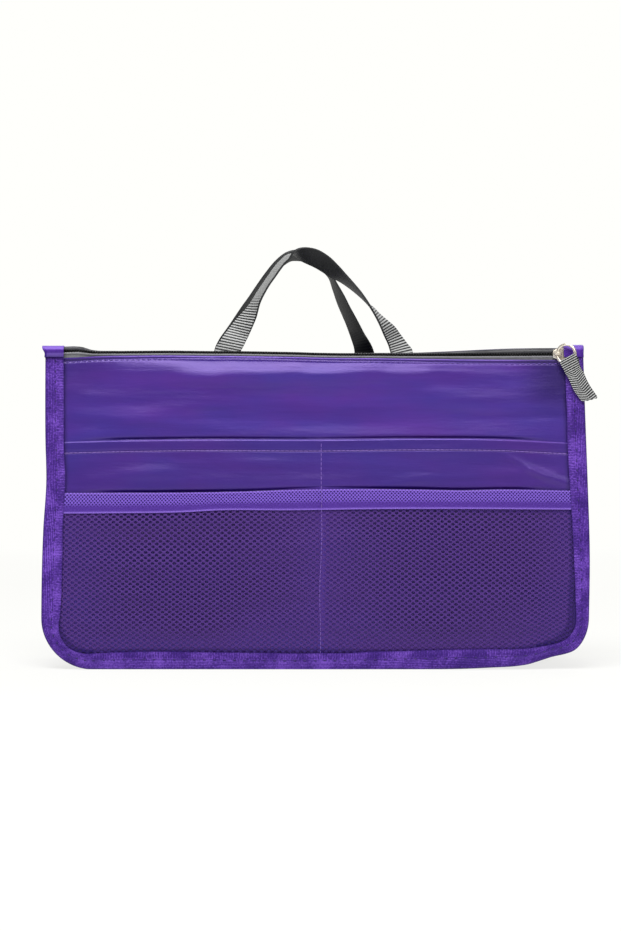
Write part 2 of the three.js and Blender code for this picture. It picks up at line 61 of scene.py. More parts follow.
# A pouch in its own millimetres: x to the right seen from outside,
# y towards the main compartment and z up its face
pouch = {
    "halfWidth": 144.0,
    "height": 172.5,
    "corner": 27.0,
    "lean": 4.0,  # degrees that it leans in
    "seat": (-40.632, -0.035),  # where its foot stands, y and z
    "edge": 10.0,  # width of the bound edge
    "inset": 1.6,  # cloth ends inside the fold of the binding
    "cloth": 0.3,
}
layer = {"slip": -0.5, "edgeFront": -1.8, "edgeBack": 3.55, "inner": 2.55}  # depths of its layers
pouchLean = math.radians(pouch["lean"])
clothHalf = pouch["halfWidth"] - pouch["inset"]
openHalf = pouch["halfWidth"] - pouch["edge"]  # half the width that shows between the bound edges
hemHalf = 140.0  # half the length of the hems

seeds = {  # one for each set of random hills
    "face": {"front": 3, "rear": 23},
    "slip": 41,
    "net": 57,
    "knit": (61, 62),
    "inner": {"front": 71, "rear": 73},
    "band": 83,
    "innerPocket": {"front": 91, "rear": 93},
    "binding": {"front": 131, "rear": 137},
    "bindingEdge": 133,
    "strap": 151,
    "floor": (171, 172),
    "gusset": (181, 191),
}


# Small helpers
def clearSelection():
    if bpy.context.object and bpy.context.object.mode != "OBJECT":
        bpy.ops.object.mode_set(mode="OBJECT")
    bpy.ops.object.select_all(action="DESELECT")


def pickOnly(piece):
    clearSelection()
    piece.select_set(True)
    bpy.context.view_layer.objects.active = piece


def editAll(piece):  # edit mode, with the whole piece selected
    pickOnly(piece)
    bpy.ops.object.mode_set(mode="EDIT")
    bpy.ops.mesh.select_all(action="SELECT")


def leaveEdit():
    bpy.ops.object.mode_set(mode="OBJECT")


def finishModifiers(piece):
    pickOnly(piece)
    for modifier in list(piece.modifiers):
        bpy.ops.object.modifier_apply(modifier=modifier.name)


def nameLast(name):  # the piece that was just added
    piece = bpy.context.object
    piece.name = piece.data.name = name
    return piece


def smooth(t):
    t = np.clip(t, 0, 1)
    return t * t * (3 - 2 * t)


def line(off, width):  # 1 on a line, falling off to either side
    return np.exp(-((off / width) ** 2))


def throughPoints(t, knots, values):  # a smooth line through points
    knots, values = np.asarray(knots, float), np.asarray(values, float)
    slopes = np.gradient(values, knots)
    i = np.clip(np.searchsorted(knots, t) - 1, 0, len(knots) - 2)
    width = knots[i + 1] - knots[i]
    s = np.clip((t - knots[i]) / width, 0, 1)
    ends = (2 * s**3 - 3 * s**2 + 1) * values[i] + (3 * s**2 - 2 * s**3) * values[i + 1]
    return ends + width * ((s**3 - 2 * s**2 + s) * slopes[i] + (s**3 - s**2) * slopes[i + 1])


def softNoise(x, z, sizeX, sizeZ, seed):  # smooth hills, from about -1 to 1
    cells = 64
    table = np.random.RandomState(seed).uniform(-1, 1, (cells, cells))
    gx, gz = np.asarray(x) / sizeX + 100, np.asarray(z) / sizeZ + 100
    ix, iz = np.floor(gx).astype(int), np.floor(gz).astype(int)
    fx, fz = smooth(gx - ix), smooth(gz - iz)

    def at(i, k):
        return table[(ix + i) % cells, (iz + k) % cells]

    low = at(0, 0) * (1 - fx) + at(1, 0) * fx
    high = at(0, 1) * (1 - fx) + at(1, 1) * fx
    return low * (1 - fz) + high * fz


def crease(x, z, start, end, width, height):  # a soft ridge between two points
    (x0, z0), (x1, z1) = start, end
    run = np.array([x1 - x0, z1 - z0], float)
    t = ((x - x0) * run[0] + (z - z0) * run[1]) / (run @ run)
    inside = np.clip(t, 0, 1)
    off = np.hypot(x - x0 - inside * run[0], z - z0 - inside * run[1])
    return height * line(off, width) * (0.4 + 0.6 * np.sin(np.pi * inside))


def worldFrom(place, x, y, z):  # pouch millimetres to the model's metres
    x, y, z = np.broadcast_arrays(x, y, z)
    deep = y * math.cos(pouchLean) + z * math.sin(pouchLean) + pouch["seat"][0]
    high = z * math.cos(pouchLean) - y * math.sin(pouchLean) + pouch["seat"][1]
    turn = 1 if place == "front" else -1
    return np.stack([turn * x, turn * deep, high], axis=-1) * mm


def setPlaces(piece, places):
    piece.data.vertices.foreach_set("co", np.asarray(places, float).ravel())
    piece.data.update()


def getPlaces(piece):
    flat = np.empty(len(piece.data.vertices) * 3)
    piece.data.vertices.foreach_get("co", flat)
    return flat.reshape(-1, 3)


def setOnPouch(piece, place, places):  # places in pouch millimetres
    setPlaces(piece, worldFrom(place, places[:, 0], places[:, 1], places[:, 2]))


def newGrid(name, columns, rows):  # a flat grid and its shares across and up
    clearSelection()
    bpy.ops.mesh.primitive_grid_add(x_subdivisions=columns, y_subdivisions=rows, size=1)
    piece = nameLast(name)
    flat = getPlaces(piece)
    return piece, flat[:, 0] + 0.5, flat[:, 1] + 0.5


def crowd(v, shares, heights, top):  # rows stand closer where the cloth has an edge; the last is at the top
    last = heights[-1] + (v - shares[-1]) / (1 - shares[-1]) * (top - heights[-1])
    return np.where(v < shares[-1], np.interp(v, shares, heights), last)


def setFlatMap(piece, across, along):  # the cloth's own map, in metres
    corners = np.empty(len(piece.data.loops), int)
    piece.data.loops.foreach_get("vertex_index", corners)
    uv = np.stack([np.asarray(across)[corners], np.asarray(along)[corners]], axis=-1)
    maps = piece.data.uv_layers.active or piece.data.uv_layers.new(name="flat")
    maps.name = "flat"
    maps.data.foreach_set("uv", uv.ravel())


def setValue(piece, name, values):  # a value at each point, for the materials
    kept = piece.data.attributes.new(name, "FLOAT", "POINT")
    kept.data.foreach_set("value", np.asarray(values, float))


def paintLightAndShade(piece, paintedLight):  # painted highlights above 0 and painted shade below it, in creases, gaps and beside other parts
    setValue(piece, "paintedLight", paintedLight)


def addThickness(piece, thickness, offset=-1.0, backLook=0):
    wall = piece.modifiers.new("thickness", "SOLIDIFY")
    wall.thickness = thickness * mm
    wall.offset = offset
    wall.material_offset = wall.material_offset_rim = backLook  # a second finish for the back and the edges
    finishModifiers(piece)


def addRow(piece, count, step):
    row = piece.modifiers.new("row", "ARRAY")
    row.use_relative_offset, row.use_constant_offset = False, True
    row.count, row.constant_offset_displace = count, step


def shade(piece, angle=40):
    pickOnly(piece)
    bpy.ops.object.shade_smooth_by_angle(angle=math.radians(angle))


def dress(piece, look):
    piece.data.materials.clear()
    piece.data.materials.append(look)


def finishPiece(piece, body, nodes, look):
    dress(piece, looks[look])
    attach(piece, body)
    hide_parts(*nodes)


def outwards(piece):  # merges doubles and turns every face out
    editAll(piece)
    bpy.ops.mesh.remove_doubles(threshold=1e-6)
    bpy.ops.mesh.normals_make_consistent(inside=False)
    leaveEdit()


def stretch(piece, size):
    editAll(piece)
    bpy.ops.transform.resize(value=size)
    leaveEdit()


def repeatMesh(name, model, frames):  # copies of one small model as one mesh, each moved to its own frame
    points = getPlaces(model)
    pickOnly(model)
    bpy.ops.object.duplicate()
    piece = nameLast(name)
    addRow(piece, len(frames), (10, 0, 0))
    finishModifiers(piece)
    setPlaces(piece, np.concatenate([points @ turn.T + at for at, turn in frames]))
    piece.data.shade_smooth()
    return piece


def discard(piece):
    mesh = piece.data
    bpy.data.objects.remove(piece)
    bpy.data.meshes.remove(mesh)


# Nodes of the materials
waveScale = 0.31416  # gives a wave texture one ridge in each metre


def paint(r, g, b):  # a colour as a picture shows it, for the shader
    shares = (r / 255, g / 255, b / 255)
    return tuple((c / 12.92 if c <= 0.04045 else ((c + 0.055) / 1.055) ** 2.4) for c in shares) + (1,)


def newLook(name, colour, roughness, metallic=0.0):
    look = bpy.data.materials.new(name)
    look.use_nodes = True
    shader = look.node_tree.nodes["Principled BSDF"]
    shader.inputs["Base Color"].default_value = paint(*colour)
    shader.inputs["Roughness"].default_value = roughness
    shader.inputs["Metallic"].default_value = metallic
    return look, shader


def node(look, kind, values=None, **settings):
    made = look.node_tree.nodes.new(kind)
    for key, value in settings.items():
        setattr(made, key, value)
    for key, value in (values or {}).items():
        made.inputs[key].default_value = value
    return made


def link(look, source, target):
    look.node_tree.links.new(source, target)


def flatMap(look, scale=(1, 1, 1), turn=0.0):
    at = node(look, "ShaderNodeUVMap", uv_map="flat")
    mapping = node(look, "ShaderNodeMapping", {"Scale": scale, "Rotation": (0, 0, turn)})
    link(look, at.outputs["UV"], mapping.inputs["Vector"])
    return mapping.outputs["Vector"]


def flatAxis(look, axis):  # one coordinate of the cloth's own map
    apart = node(look, "ShaderNodeSeparateXYZ")
    link(look, flatMap(look), apart.inputs["Vector"])
    return apart.outputs[axis]


def objectMap(look):
    return node(look, "ShaderNodeTexCoord").outputs["Object"]


def pointValue(look, name):
    return node(look, "ShaderNodeAttribute", attribute_name=name).outputs["Fac"]


def noise(look, vector, scale, detail=3.0, roughness=0.5):
    made = node(look, "ShaderNodeTexNoise", {"Scale": scale, "Detail": detail, "Roughness": roughness})
    link(look, vector, made.inputs["Vector"])
    return made.outputs["Fac"]


def bands(look, vector, pitch, direction="X", wobble=0.0):  # ridges of a pitch in metres
    values = {"Scale": waveScale / pitch, "Distortion": wobble}
    made = node(look, "ShaderNodeTexWave", values, bands_direction=direction)
    link(look, vector, made.inputs["Vector"])
    return made.outputs["Fac"]


def maths(look, operation, *values):
    made = node(look, "ShaderNodeMath", operation=operation)
    for socket, value in zip(made.inputs, values):
        if isinstance(value, (int, float)):
            socket.default_value = value
        else:
            link(look, value, socket)
    return made.outputs["Value"]


def ramp(look, factor, stops):
    made = node(look, "ShaderNodeValToRGB")
    while len(made.color_ramp.elements) < len(stops):
        made.color_ramp.elements.new(0.5)
    for element, (position, colour) in zip(made.color_ramp.elements, stops):
        element.position = position
        element.color = paint(*colour)
    link(look, factor, made.inputs["Fac"])
    return made.outputs["Color"]


def blendColours(look, share, first, second):  # first where the share is 0
    made = node(look, "ShaderNodeMix", data_type="RGBA", clamp_factor=True)
    link(look, share, made.inputs["Factor"])
    for socket, colour in ((made.inputs[6], first), (made.inputs[7], second)):
        if isinstance(colour, tuple):
            socket.default_value = paint(*colour)
        else:
            link(look, colour, socket)
    return made.outputs[2]


def relief(look, shader, heights):  # bumps in turn, each a height, a depth in metres and a strength
    last = None
    for height, depth, strength in heights:
        bump = node(look, "ShaderNodeBump", {"Strength": strength, "Distance": depth})
        link(look, height, bump.inputs["Height"])
        if last:
            link(look, last, bump.inputs["Normal"])
        last = bump.outputs["Normal"]
    link(look, last, shader.inputs["Normal"])


# Materials
purple = {
    "gloss": (0.62, 0.46, 1.0, 1.0),  # light that the purple cloth mirrors
    # colours that the painted highlights and the painted shade blend towards
    "paintedLightColours": {"light": (152, 118, 224), "dark": (24, 2, 84)},
}


def withPaintedLight(look, colour, paintedLightColours):  # a cloth's colour with painted highlights and painted shade from its own values
    paintedLight = pointValue(look, "paintedLight")
    lighter = blendColours(look, maths(look, "MAXIMUM", paintedLight, 0.0), colour, paintedLightColours["light"])
    shaded = maths(look, "MAXIMUM", maths(look, "MULTIPLY", paintedLight, -1.0), 0.0)
    return blendColours(look, shaded, lighter, paintedLightColours["dark"])


def purpleColour(look, shader, colour):
    link(look, withPaintedLight(look, colour, purple["paintedLightColours"]), shader.inputs["Base Color"])
    shader.inputs["Specular Tint"].default_value = purple["gloss"]


nylonFinish = {
    "red": (70, 27, 130),  # the two yarn colours that shift with the light
    "blue": (52, 34, 132),
    "dark": (42, 18, 104),
    "roughness": 0.36,
    "gloss": 0.95,
    "clouds": (14, 30, 1),  # how many to a metre, across and up
    "streaks": (9, 120, 1),
    "crinkles": (30, 190, 1),
    "yarn": 0.00042,
}


def makeNylon():
    look, shader = newLook("purpleNylon", nylonFinish["red"], nylonFinish["roughness"])
    clouds = noise(look, flatMap(look, nylonFinish["clouds"]), 1.0, 3.0, 0.55)
    shot = ramp(look, clouds, [(0.36, nylonFinish["red"]), (0.62, nylonFinish["blue"])])
    streaks = noise(look, flatMap(look, nylonFinish["streaks"]), 1.0, 4.0, 0.6)
    darker = maths(look, "MULTIPLY_ADD", streaks, -1.5, 1.0)
    purpleColour(look, shader, blendColours(look, darker, shot, nylonFinish["dark"]))
    rough = maths(look, "MULTIPLY_ADD", streaks, 0.2, nylonFinish["roughness"] - 0.1)
    link(look, rough, shader.inputs["Roughness"])
    warp, weft = [bands(look, flatMap(look), nylonFinish["yarn"], way) for way in "XY"]
    weave = maths(look, "MULTIPLY", warp, weft)
    crinkle = noise(look, flatMap(look, nylonFinish["crinkles"]), 1.0, 4.0, 0.6)
    relief(look, shader, [(weave, 0.00005, 0.3), (crinkle, 0.0006, 0.4)])
    shader.inputs["Specular IOR Level"].default_value = nylonFinish["gloss"]
    return look


netFinish = {
    "mid": (72, 40, 114),
    "shades": [(0.3, (50, 24, 90)), (0.7, (86, 54, 134))],
    "fibres": 5200.0,
}


def makeNetYarn():
    look, shader = newLook("netYarn", netFinish["mid"], 0.6)
    fibre = noise(look, flatMap(look), netFinish["fibres"], 2.0)
    purpleColour(look, shader, ramp(look, fibre, netFinish["shades"]))
    relief(look, shader, [(fibre, 0.00008, 0.4)])
    return look


bandFinish = {
    "mid": (86, 50, 154),
    "shades": [(0.5, (26, 4, 84)), (0.68, (74, 42, 140)), (0.86, (124, 92, 200))],
    "twill": 0.0013,
    "fibres": 4200.0,
    "fade": (-0.0078, -0.0056),  # the twill fades out towards the lower edge
    "plain": (190, 190, 190),  # height of the plain part, as a grey
}


def makeTwill():  # crossing twill lines
    look, shader = newLook("twillBand", bandFinish["mid"], 0.62)
    turns = (math.radians(45), math.radians(-45))
    one, two = [bands(look, flatMap(look, turn=turn), bandFinish["twill"]) for turn in turns]
    lattice = maths(look, "MULTIPLY", maths(look, "MAXIMUM", one, two), 0.75)
    fibre = noise(look, flatMap(look, (1, 0.25, 1)), bandFinish["fibres"], 2.0)
    low, high = bandFinish["fade"]
    patterned = node(look, "ShaderNodeMapRange", {"From Min": low, "From Max": high})
    link(look, flatAxis(look, "Y"), patterned.inputs["Value"])
    weave = blendColours(look, patterned.outputs["Result"], bandFinish["plain"], lattice)
    mixed = maths(look, "MULTIPLY_ADD", fibre, 0.3, weave)
    purpleColour(look, shader, ramp(look, mixed, bandFinish["shades"]))
    relief(look, shader, [(weave, 0.0003, 0.6), (fibre, 0.0001, 0.3)])
    return look


edgeFinish = {
    "light": (122, 80, 194),
    "mid": (70, 34, 134),
    "dark": (42, 14, 100),
    "flap": (84, 42, 156),
    "strip": 0.0036,  # how far the weft lines reach in from the tape's edge
    "thread": 0.00085,
    "specks": 1000.0,
    "patches": 70.0,
    "streaks": 900.0,
}


def makeEdgeTape():  # the flat map's first value is the distance from the tape's edge
    look, shader = newLook("edgeTape", edgeFinish["mid"], 0.55)
    specks = noise(look, flatMap(look, (0.8, 1.1, 1), math.radians(35)), edgeFinish["specks"], 2.0, 0.6)
    patches = noise(look, flatMap(look), edgeFinish["patches"], 3.0, 0.6)
    mixed = maths(look, "MULTIPLY_ADD", specks, 0.6, maths(look, "MULTIPLY", patches, 0.72))
    weft = bands(look, flatMap(look, (0.4, 1, 1)), edgeFinish["thread"], "Y", 1.5)
    cords = bands(look, flatMap(look, (1, 0.35, 1)), edgeFinish["thread"], "X", 2.5)
    strip = maths(look, "LESS_THAN", flatAxis(look, "X"), edgeFinish["strip"])
    ribs = blendColours(look, strip, cords, weft)  # short weft lines beside the edge, cords along the rest
    woven = maths(look, "MULTIPLY_ADD", ribs, 0.22, mixed)
    shades = [(0.62, edgeFinish["dark"]), (0.79, edgeFinish["mid"]), (0.97, edgeFinish["light"])]
    purpleColour(look, shader, ramp(look, woven, shades))
    relief(look, shader, [(specks, 0.00012, 0.4), (ribs, 0.00016, 0.4)])
    return look


def makeFlap():  # the smooth folded ends of the tape
    look, shader = newLook("edgeFlap", edgeFinish["flap"], 0.45)
    streaks = noise(look, flatMap(look, (1, 0.3, 1)), edgeFinish["streaks"], 3.0, 0.6)
    purpleColour(look, shader, ramp(look, streaks, [(0.3, edgeFinish["mid"]), (0.62, edgeFinish["flap"])]))
    relief(look, shader, [(streaks, 0.0002, 0.4)])
    return look


tapeFinish = {
    # colours of the painted highlights and painted shade on the tape
    "paintedLightColours": {"light": (178, 178, 182), "dark": (46, 48, 52)},
    "rib": 0.0006,
    "fibres": 3000.0,
    "turned": 0.0068,  # past this it turns down inside, where it is drawn near black as painted shade
    "inside": (14, 14, 16),
}


def makeZipTape(name, dark, light):
    look, shader = newLook(name, light, 0.45)
    rib = bands(look, flatMap(look), tapeFinish["rib"], "Y")
    fibre = noise(look, flatMap(look, (0.1, 1, 1)), tapeFinish["fibres"], 2.0)
    colour = withPaintedLight(look, ramp(look, fibre, [(0.3, dark), (0.7, light)]), tapeFinish["paintedLightColours"])
    # painted shade: the part turned down inside is drawn near black
    inside = maths(look, "GREATER_THAN", flatAxis(look, "Y"), tapeFinish["turned"])
    link(look, blendColours(look, inside, colour, tapeFinish["inside"]), shader.inputs["Base Color"])
    relief(look, shader, [(rib, 0.0001, 0.2), (fibre, 0.00006, 0.2)])
    return look


coilFinish = {"mid": (10, 10, 11), "shades": [(0.35, (6, 6, 7)), (0.7, (14, 14, 15))], "gloss": 0.15}


def makeCoil():
    look, shader = newLook("coilNylon", coilFinish["mid"], 0.6)
    wear = noise(look, objectMap(look), 900.0, 2.0)
    link(look, ramp(look, wear, coilFinish["shades"]), shader.inputs["Base Color"])
    shader.inputs["Specular IOR Level"].default_value = coilFinish["gloss"]
    return look


metalFinish = {
    "mid": (240, 232, 216),
    "shades": [(0.3, (226, 212, 188)), (0.7, (246, 240, 230))],
    "clouds": 420.0,
}


def makeMetal(name, metallic):
    look, shader = newLook(name, metalFinish["mid"], 0.2, metallic)
    cloud = noise(look, objectMap(look), metalFinish["clouds"], 3.0)
    link(look, ramp(look, cloud, metalFinish["shades"]), shader.inputs["Base Color"])
    link(look, maths(look, "MULTIPLY_ADD", cloud, 0.2, 0.1), shader.inputs["Roughness"])
    relief(look, shader, [(cloud, 0.00004, 0.15)])
    return look


webbing = {
    "rib": 1.55,
    "tabRib": 1.2,
    "relief": 0.04,
    "face": ((186, 187, 186), (98, 99, 99), (20, 21, 21)),  # crowns, flanks and grooves of the ribs
    "back": ((36, 37, 38), (31, 32, 33), (25, 26, 27)),
    "flat": (226, 226, 226),  # height of the ribs where they are drawn flat, as a grey
    "fibres": 3800.0,
}


def makeWebbing(name, pitch, colours, hollow, gloss):  # hollow sets how wide the grooves are
    crown, flank, groove = colours
    look, shader = newLook(name, flank, 0.5)
    rib = bands(look, flatMap(look), pitch * mm, "Y")
    rib = blendColours(look, pointValue(look, "plain"), rib, webbing["flat"])
    fibre = noise(look, flatMap(look, (0.25, 1, 1)), webbing["fibres"], 2.0)
    mixed = maths(look, "MULTIPLY_ADD", fibre, 0.25, rib)
    colour = ramp(look, mixed, [(hollow, groove), (hollow + 0.25, flank), (hollow + 0.5, crown)])
    link(look, colour, shader.inputs["Base Color"])
    shader.inputs["Specular IOR Level"].default_value = gloss
    relief(look, shader, [(fibre, 0.0001, 0.4)])
    return look


threads = {"lilacThread": (140, 104, 200), "violetThread": (108, 76, 180), "purpleThread": (46, 18, 108)}


def makeThread(name):
    colour = threads[name]
    look, shader = newLook(name, colour, 0.5)
    twist = noise(look, objectMap(look), 2600.0, 2.0)
    shades = ramp(look, twist, [(0.3, tuple(0.8 * c for c in colour)), (0.7, colour)])
    link(look, shades, shader.inputs["Base Color"])
    relief(look, shader, [(twist, 0.00006, 0.3)])
    return look


looks = {
    "nylon": makeNylon(),
    "net": makeNetYarn(),
    "band": makeTwill(),
    "binding": makeEdgeTape(),
    "flap": makeFlap(),
    "zip_tape": makeZipTape("zipTape", (90, 89, 95), (122, 121, 128)),
    # the inner tape is the same tape drawn darker, as painted shade
    "zipTapePaintedShade": makeZipTape("zipTapePaintedShade", (40, 40, 44), (64, 64, 69)),
    "coil": makeCoil(),
    "metal": makeMetal("paleGold", 0.8),
    "casting": makeMetal("paleCasting", 0.4),
    "webbing": makeWebbing("ribbedWebbing", webbing["rib"], webbing["face"], 0.5, 0.5),
    "webbingBack": makeWebbing("webbingBack", webbing["rib"], webbing["back"], 0.36, 0.28),
    "tab": makeWebbing("tabWebbing", webbing["tabRib"], webbing["face"], 0.5, 0.5),
}
for thread in threads:
    looks[thread] = makeThread(thread)
print("materials ready:", len(looks))


# How the cloth lies
settled = {  # how far the soft outline has moved, as in the photograph
    "left": ([0, 26, 48, 74, 100, 122, 173], [-0.8, -1.25, -1.2, -0.6, 0.8, 0.15, -0.3]),  # by height
    "right": ([0, 26, 60, 100, 132, 173], [0.6, 1.35, 2.1, 1.3, 0.4, -0.6]),
    "foot": (  # the right bottom corner is drawn up
        [-144, 60, 81, 94, 106, 113, 119, 125, 132, 138, 144],
        [0, 0, 0.4, 1, 1.7, 2.8, 4.6, 5.6, 4.2, 1.5, 0],
    ),
    "footHeight": 50,  # up to this height
}
hang = {
    "pillow": 1.5,  # how far the face stands out
    "bulge": 1.5,  # and how far along the ridge just below the zip
    "ridge": 157.6,
    "roll": 0.56,  # slope of the cloth that rolls back, at its full bend
    "bend": 8.5,  # and how far above the ridge that is
    "undercut": 0.16,
    "folds": 0.42,
    "creases": [((-106, 130), (-52, 143), 6, 1.6), ((40, 150), (110, 138), 6, 1.2)],  # ends, width, height
}
hemLine = (
    [-144, -128, -112, -95, -30, 10, 50, 66, 82, 144],
    [165.8, 166.2, 167.1, 167.4, 167.3, 166.3, 165.8, 165.5, 165.3, 165.0],
)
hemMean = 165.5  # the rear pouch's hem is drawn half way to this height
# how far the cloth rolls back
glowLine = ([-144, -125, -105, -85, -60, -40, 144], [0, 0.18, 0.42, 0.64, 0.9, 1, 1])
rollLine = (  # the zip stands upright where this is 0 and lies back where it is 1
    [-144, -127, -118, -105, 0, 18, 45, 70, 85, 100, 112, 124, 144],
    [0, 0, 0.75, 1, 1, 1, 0.86, 0.62, 0.42, 0.22, 0.1, 0, 0],
)
zipLine = {
    "width": (6.4, 4.8, 6.6),  # hem to inner panel at the left end, at mid-span and at the right end
    "lower": (3.6, 1.5, 2.6),  # edges of the slit between the tapes
    "upper": (4.3, 3.2, 3.9),
    "leans": ([0, 0.3, 0.62, 0.74, 1], [8, 24, 58, 90, 98]),  # degrees at mid-span, by share of the width
    "endLeans": ([0, 0.4, 0.6, 1], [16, 22, -4, -8]),  # and at its ends
    "behind": 0.75,  # how far it starts behind the hem
    "spread": 1.125,  # how far the slider parts each tape
    "parts": (127.1, 4.0),  # where it begins to, and over what length
    "steps": 24,
}
slipPocket = {
    "height": 122.3,
    "hem": 6.2,
    "puff": 0.9,
    "seam": 2.6,
    "cloth": 0.3,
    "edge": (  # its hem is a little lower at its ends
        [-140, -110, -60, 0, 60, 100, 125, 140],
        [-1.4, -0.7, 0, -0.1, 0.4, -0.1, -1.2, -1.9],
    ),
    "creases": [
        ((102, 113), (122, 102), 1.9, 0.6),
        ((112, 106), (138, 97), 2.2, 0.8),
        ((-120, 100), (-60, 108), 4, 0.3),
        ((36, 98), (62, 102), 3.2, 0.4),
    ],
}
meshPocket = {
    "top": 84.2,
    "off": 0.62,  # how far it lies off the slip pockets
    "puff": 0.7,
    "pitch": (3.8, 2.75),
    "gap": (2.05, 1.36),
    "cells": (71, 31),
    "from": (-133.0, 3.0),  # the first cell's place
    "inset": 4.0,
    "hidden": 6.5,  # what the band covers
    "yarn": 0.46,
    "crown": 0.16,
}
meshBand = {
    "half": 136.5,
    "width": 10.8,
    "thick": 0.75,
    "cloth": 0.28,
    "top": ([-134, -70, -35, -16, 58, 76, 95, 134], [93.6, 93.6, 94.3, 95.1, 95.1, 94.7, 95.1, 94.8]),
    "low": ([-134, -107, -70, -52, -16, 20, 134], [82.5, 82.6, 83.1, 84.1, 84.2, 84.7, 84.6]),
}


def settle(place, x, z):
    if place == "rear":
        return x, z
    left, right = throughPoints(z, *settled["left"]), throughPoints(z, *settled["right"])
    share = np.clip(x / pouch["halfWidth"] * 0.5 + 0.5, 0, 1)
    lift = throughPoints(x, *settled["foot"]) * np.clip(1 - z / settled["footHeight"], 0, 1) ** 1.5
    return x + left * (1 - share) + right * share, z + lift


def settledFrom(place, x, y, z):  # pouch millimetres to metres, once the outline has settled
    sx, sz = settle(place, x, z)
    return worldFrom(place, sx, y, sz)


def hemHeight(place, x):
    height = throughPoints(x, *hemLine)
    return height if place == "front" else 0.5 * (height + hemMean)


def rollShare(x):
    return np.clip(throughPoints(x, *rollLine), 0, 1)


def offSeams(x, z):  # 1 on the free cloth and 0 along its sewn sides and foot
    return smooth((133 - np.abs(x)) / 16) * smooth((z - 9) / 14)


def faceDepth(place, x, z):  # where the face of the outer panel lies
    seed = seeds["face"][place]
    edge = smooth((openHalf - np.abs(x)) / 40)
    rise = np.clip((z - 8) / 152, 0, 1)
    pillow = -hang["pillow"] * edge * (4 * rise * (1 - rise)) ** 0.8
    ridge = hang["ridge"] + 1.5 * softNoise(x, 0 * x, 27, 10, seed + 5)
    ridge = ridge + 0.8 * softNoise(x, 0 * x, 11, 10, seed + 6)
    over = np.asarray(z - ridge)
    back = hang["roll"] * np.maximum(over, 0) ** 2 / (2 * hang["bend"])  # turns back above the ridge
    under = hang["undercut"] * np.minimum(0.5 * (np.sqrt(over**2 + 0.5) - over), 7)
    glow = throughPoints(x, *glowLine) if place == "front" else 1
    bulge = glow * rollShare(x) * (back + under - hang["bulge"] * line(z - 158, 16))
    folds = softNoise(x, z, 85, 11, seed) + 0.45 * softNoise(x, z, 32, 5, seed + 1)
    folds = folds + 0.4 * softNoise(x + 1.5 * z, z, 40, 24, seed + 2)
    if place == "front":
        for row in hang["creases"]:
            folds = folds - crease(x, z, *row)
    return pillow + bulge + hang["folds"] * offSeams(x, z) * folds


def pocketGape(x, power=1.1):  # how far each slip pocket's mouth stands open
    seam = slipPocket["seam"]
    half = np.where(x < seam, (x + openHalf) / (seam + openHalf), (x - seam) / (openHalf - seam))
    return np.sin(np.pi * np.clip(half, 0, 1)) ** power


def slipDepth(place, x, z):  # the slip pockets' face
    gape = pocketGape(x)
    puff = slipPocket["puff"] * gape * smooth((z - 40) / 80)
    hem = 0.16 * smooth((z - slipPocket["height"] + slipPocket["hem"]) / 0.8)
    sewn = 0.3 * line(x - slipPocket["seam"], 2.2)
    folds = 0.22 * gape * (1 + softNoise(x, z, 46, 8, seeds["slip"])) * smooth((z - 12) / 12)
    if place == "front":
        for row in slipPocket["creases"]:
            folds = folds + crease(x, z, *row)
    return faceDepth(place, x, z) + layer["slip"] - puff - hem - folds + sewn


def netDepth(x, z):
    gape = pocketGape(x, 1.3)
    sewn = 0.45 * line(x - slipPocket["seam"], 1.6)
    puff = meshPocket["puff"] * gape * smooth((z - 10) / 40)
    waves = 0.3 * gape * (1 + softNoise(x, z, 30, 22, seeds["net"])) * smooth((z - 12) / 14)
    return slipDepth("front", x, z) - meshPocket["off"] - puff - waves + sewn


def zipSize(x, key):  # a width on the zip, from its ends to mid-span
    left, middle, right = zipLine[key]
    ends = np.where(np.asarray(x) < 0, left, right)
    return ends + (middle - ends) * rollShare(x)


def zipPoint(place, x, s):  # a point of the zip's strip, s millimetres up from the hem, and its lean there
    x, s = np.broadcast_arrays(np.asarray(x, float), np.asarray(s, float))
    share, width = rollShare(x), zipSize(x, "width")
    above, steps = np.maximum(s, 0), zipLine["steps"]

    def leanAt(up):
        middle = throughPoints(up / width, *zipLine["leans"])
        ends = throughPoints(up / width, *zipLine["endLeans"])
        return np.radians(middle * share + ends * (1 - share))

    leans = [leanAt(above * (i + 0.5) / steps) for i in range(steps)]
    run = sum(np.sin(lean) for lean in leans) * above / steps
    rise = sum(np.cos(lean) for lean in leans) * above / steps
    hem = hemHeight(place, x)
    under = np.minimum(s, 0)  # below the hem it lies behind the outer panel
    y = faceDepth(place, x, hem + under) + zipLine["behind"] + run
    return y, hem + rise + under, leanAt(above)


def partedBy(x):  # how far the slider holds the tapes apart
    start, reach = zipLine["parts"]
    return zipLine["spread"] * smooth((x - start) / reach)


def innerDepth(place, x, z):  # the inner panel's face, towards the zip
    top, _, _ = zipPoint(place, x, zipSize(x, "width"))
    shift = np.maximum(top + 0.15 - layer["inner"], 0)
    free = offSeams(x, z) * smooth((166 - z) / 14)
    folds = 0.35 * free * (1 + softNoise(x, z, 60, 13, seeds["inner"][place]))
    return layer["inner"] + shift * smooth((z - 105) / 62) + folds


def halfAt(z, inset):  # half the cloth's width at a height, with the round bottom corners
    radius = pouch["corner"] - inset
    drop = np.clip(pouch["corner"] - z, 0, radius)
    return pouch["halfWidth"] - pouch["corner"] + np.sqrt(np.maximum(radius**2 - drop**2, 0))


# Cloth of a pouch
def finishSheet(piece, place, part, look, thickness, angle=40):
    addThickness(piece, thickness)
    shade(piece, angle)
    finishPiece(piece, f"{place}_pouch", [f"{place}_{part}"], look)


hemSeam = {"below": 2.2, "groove": 0.3, "wide": 0.5, "bead": 0.4, "gape": 1.0}


def sewnGroove(off):  # cloth is drawn in along a seam
    return hemSeam["groove"] * line(off, hemSeam["wide"])


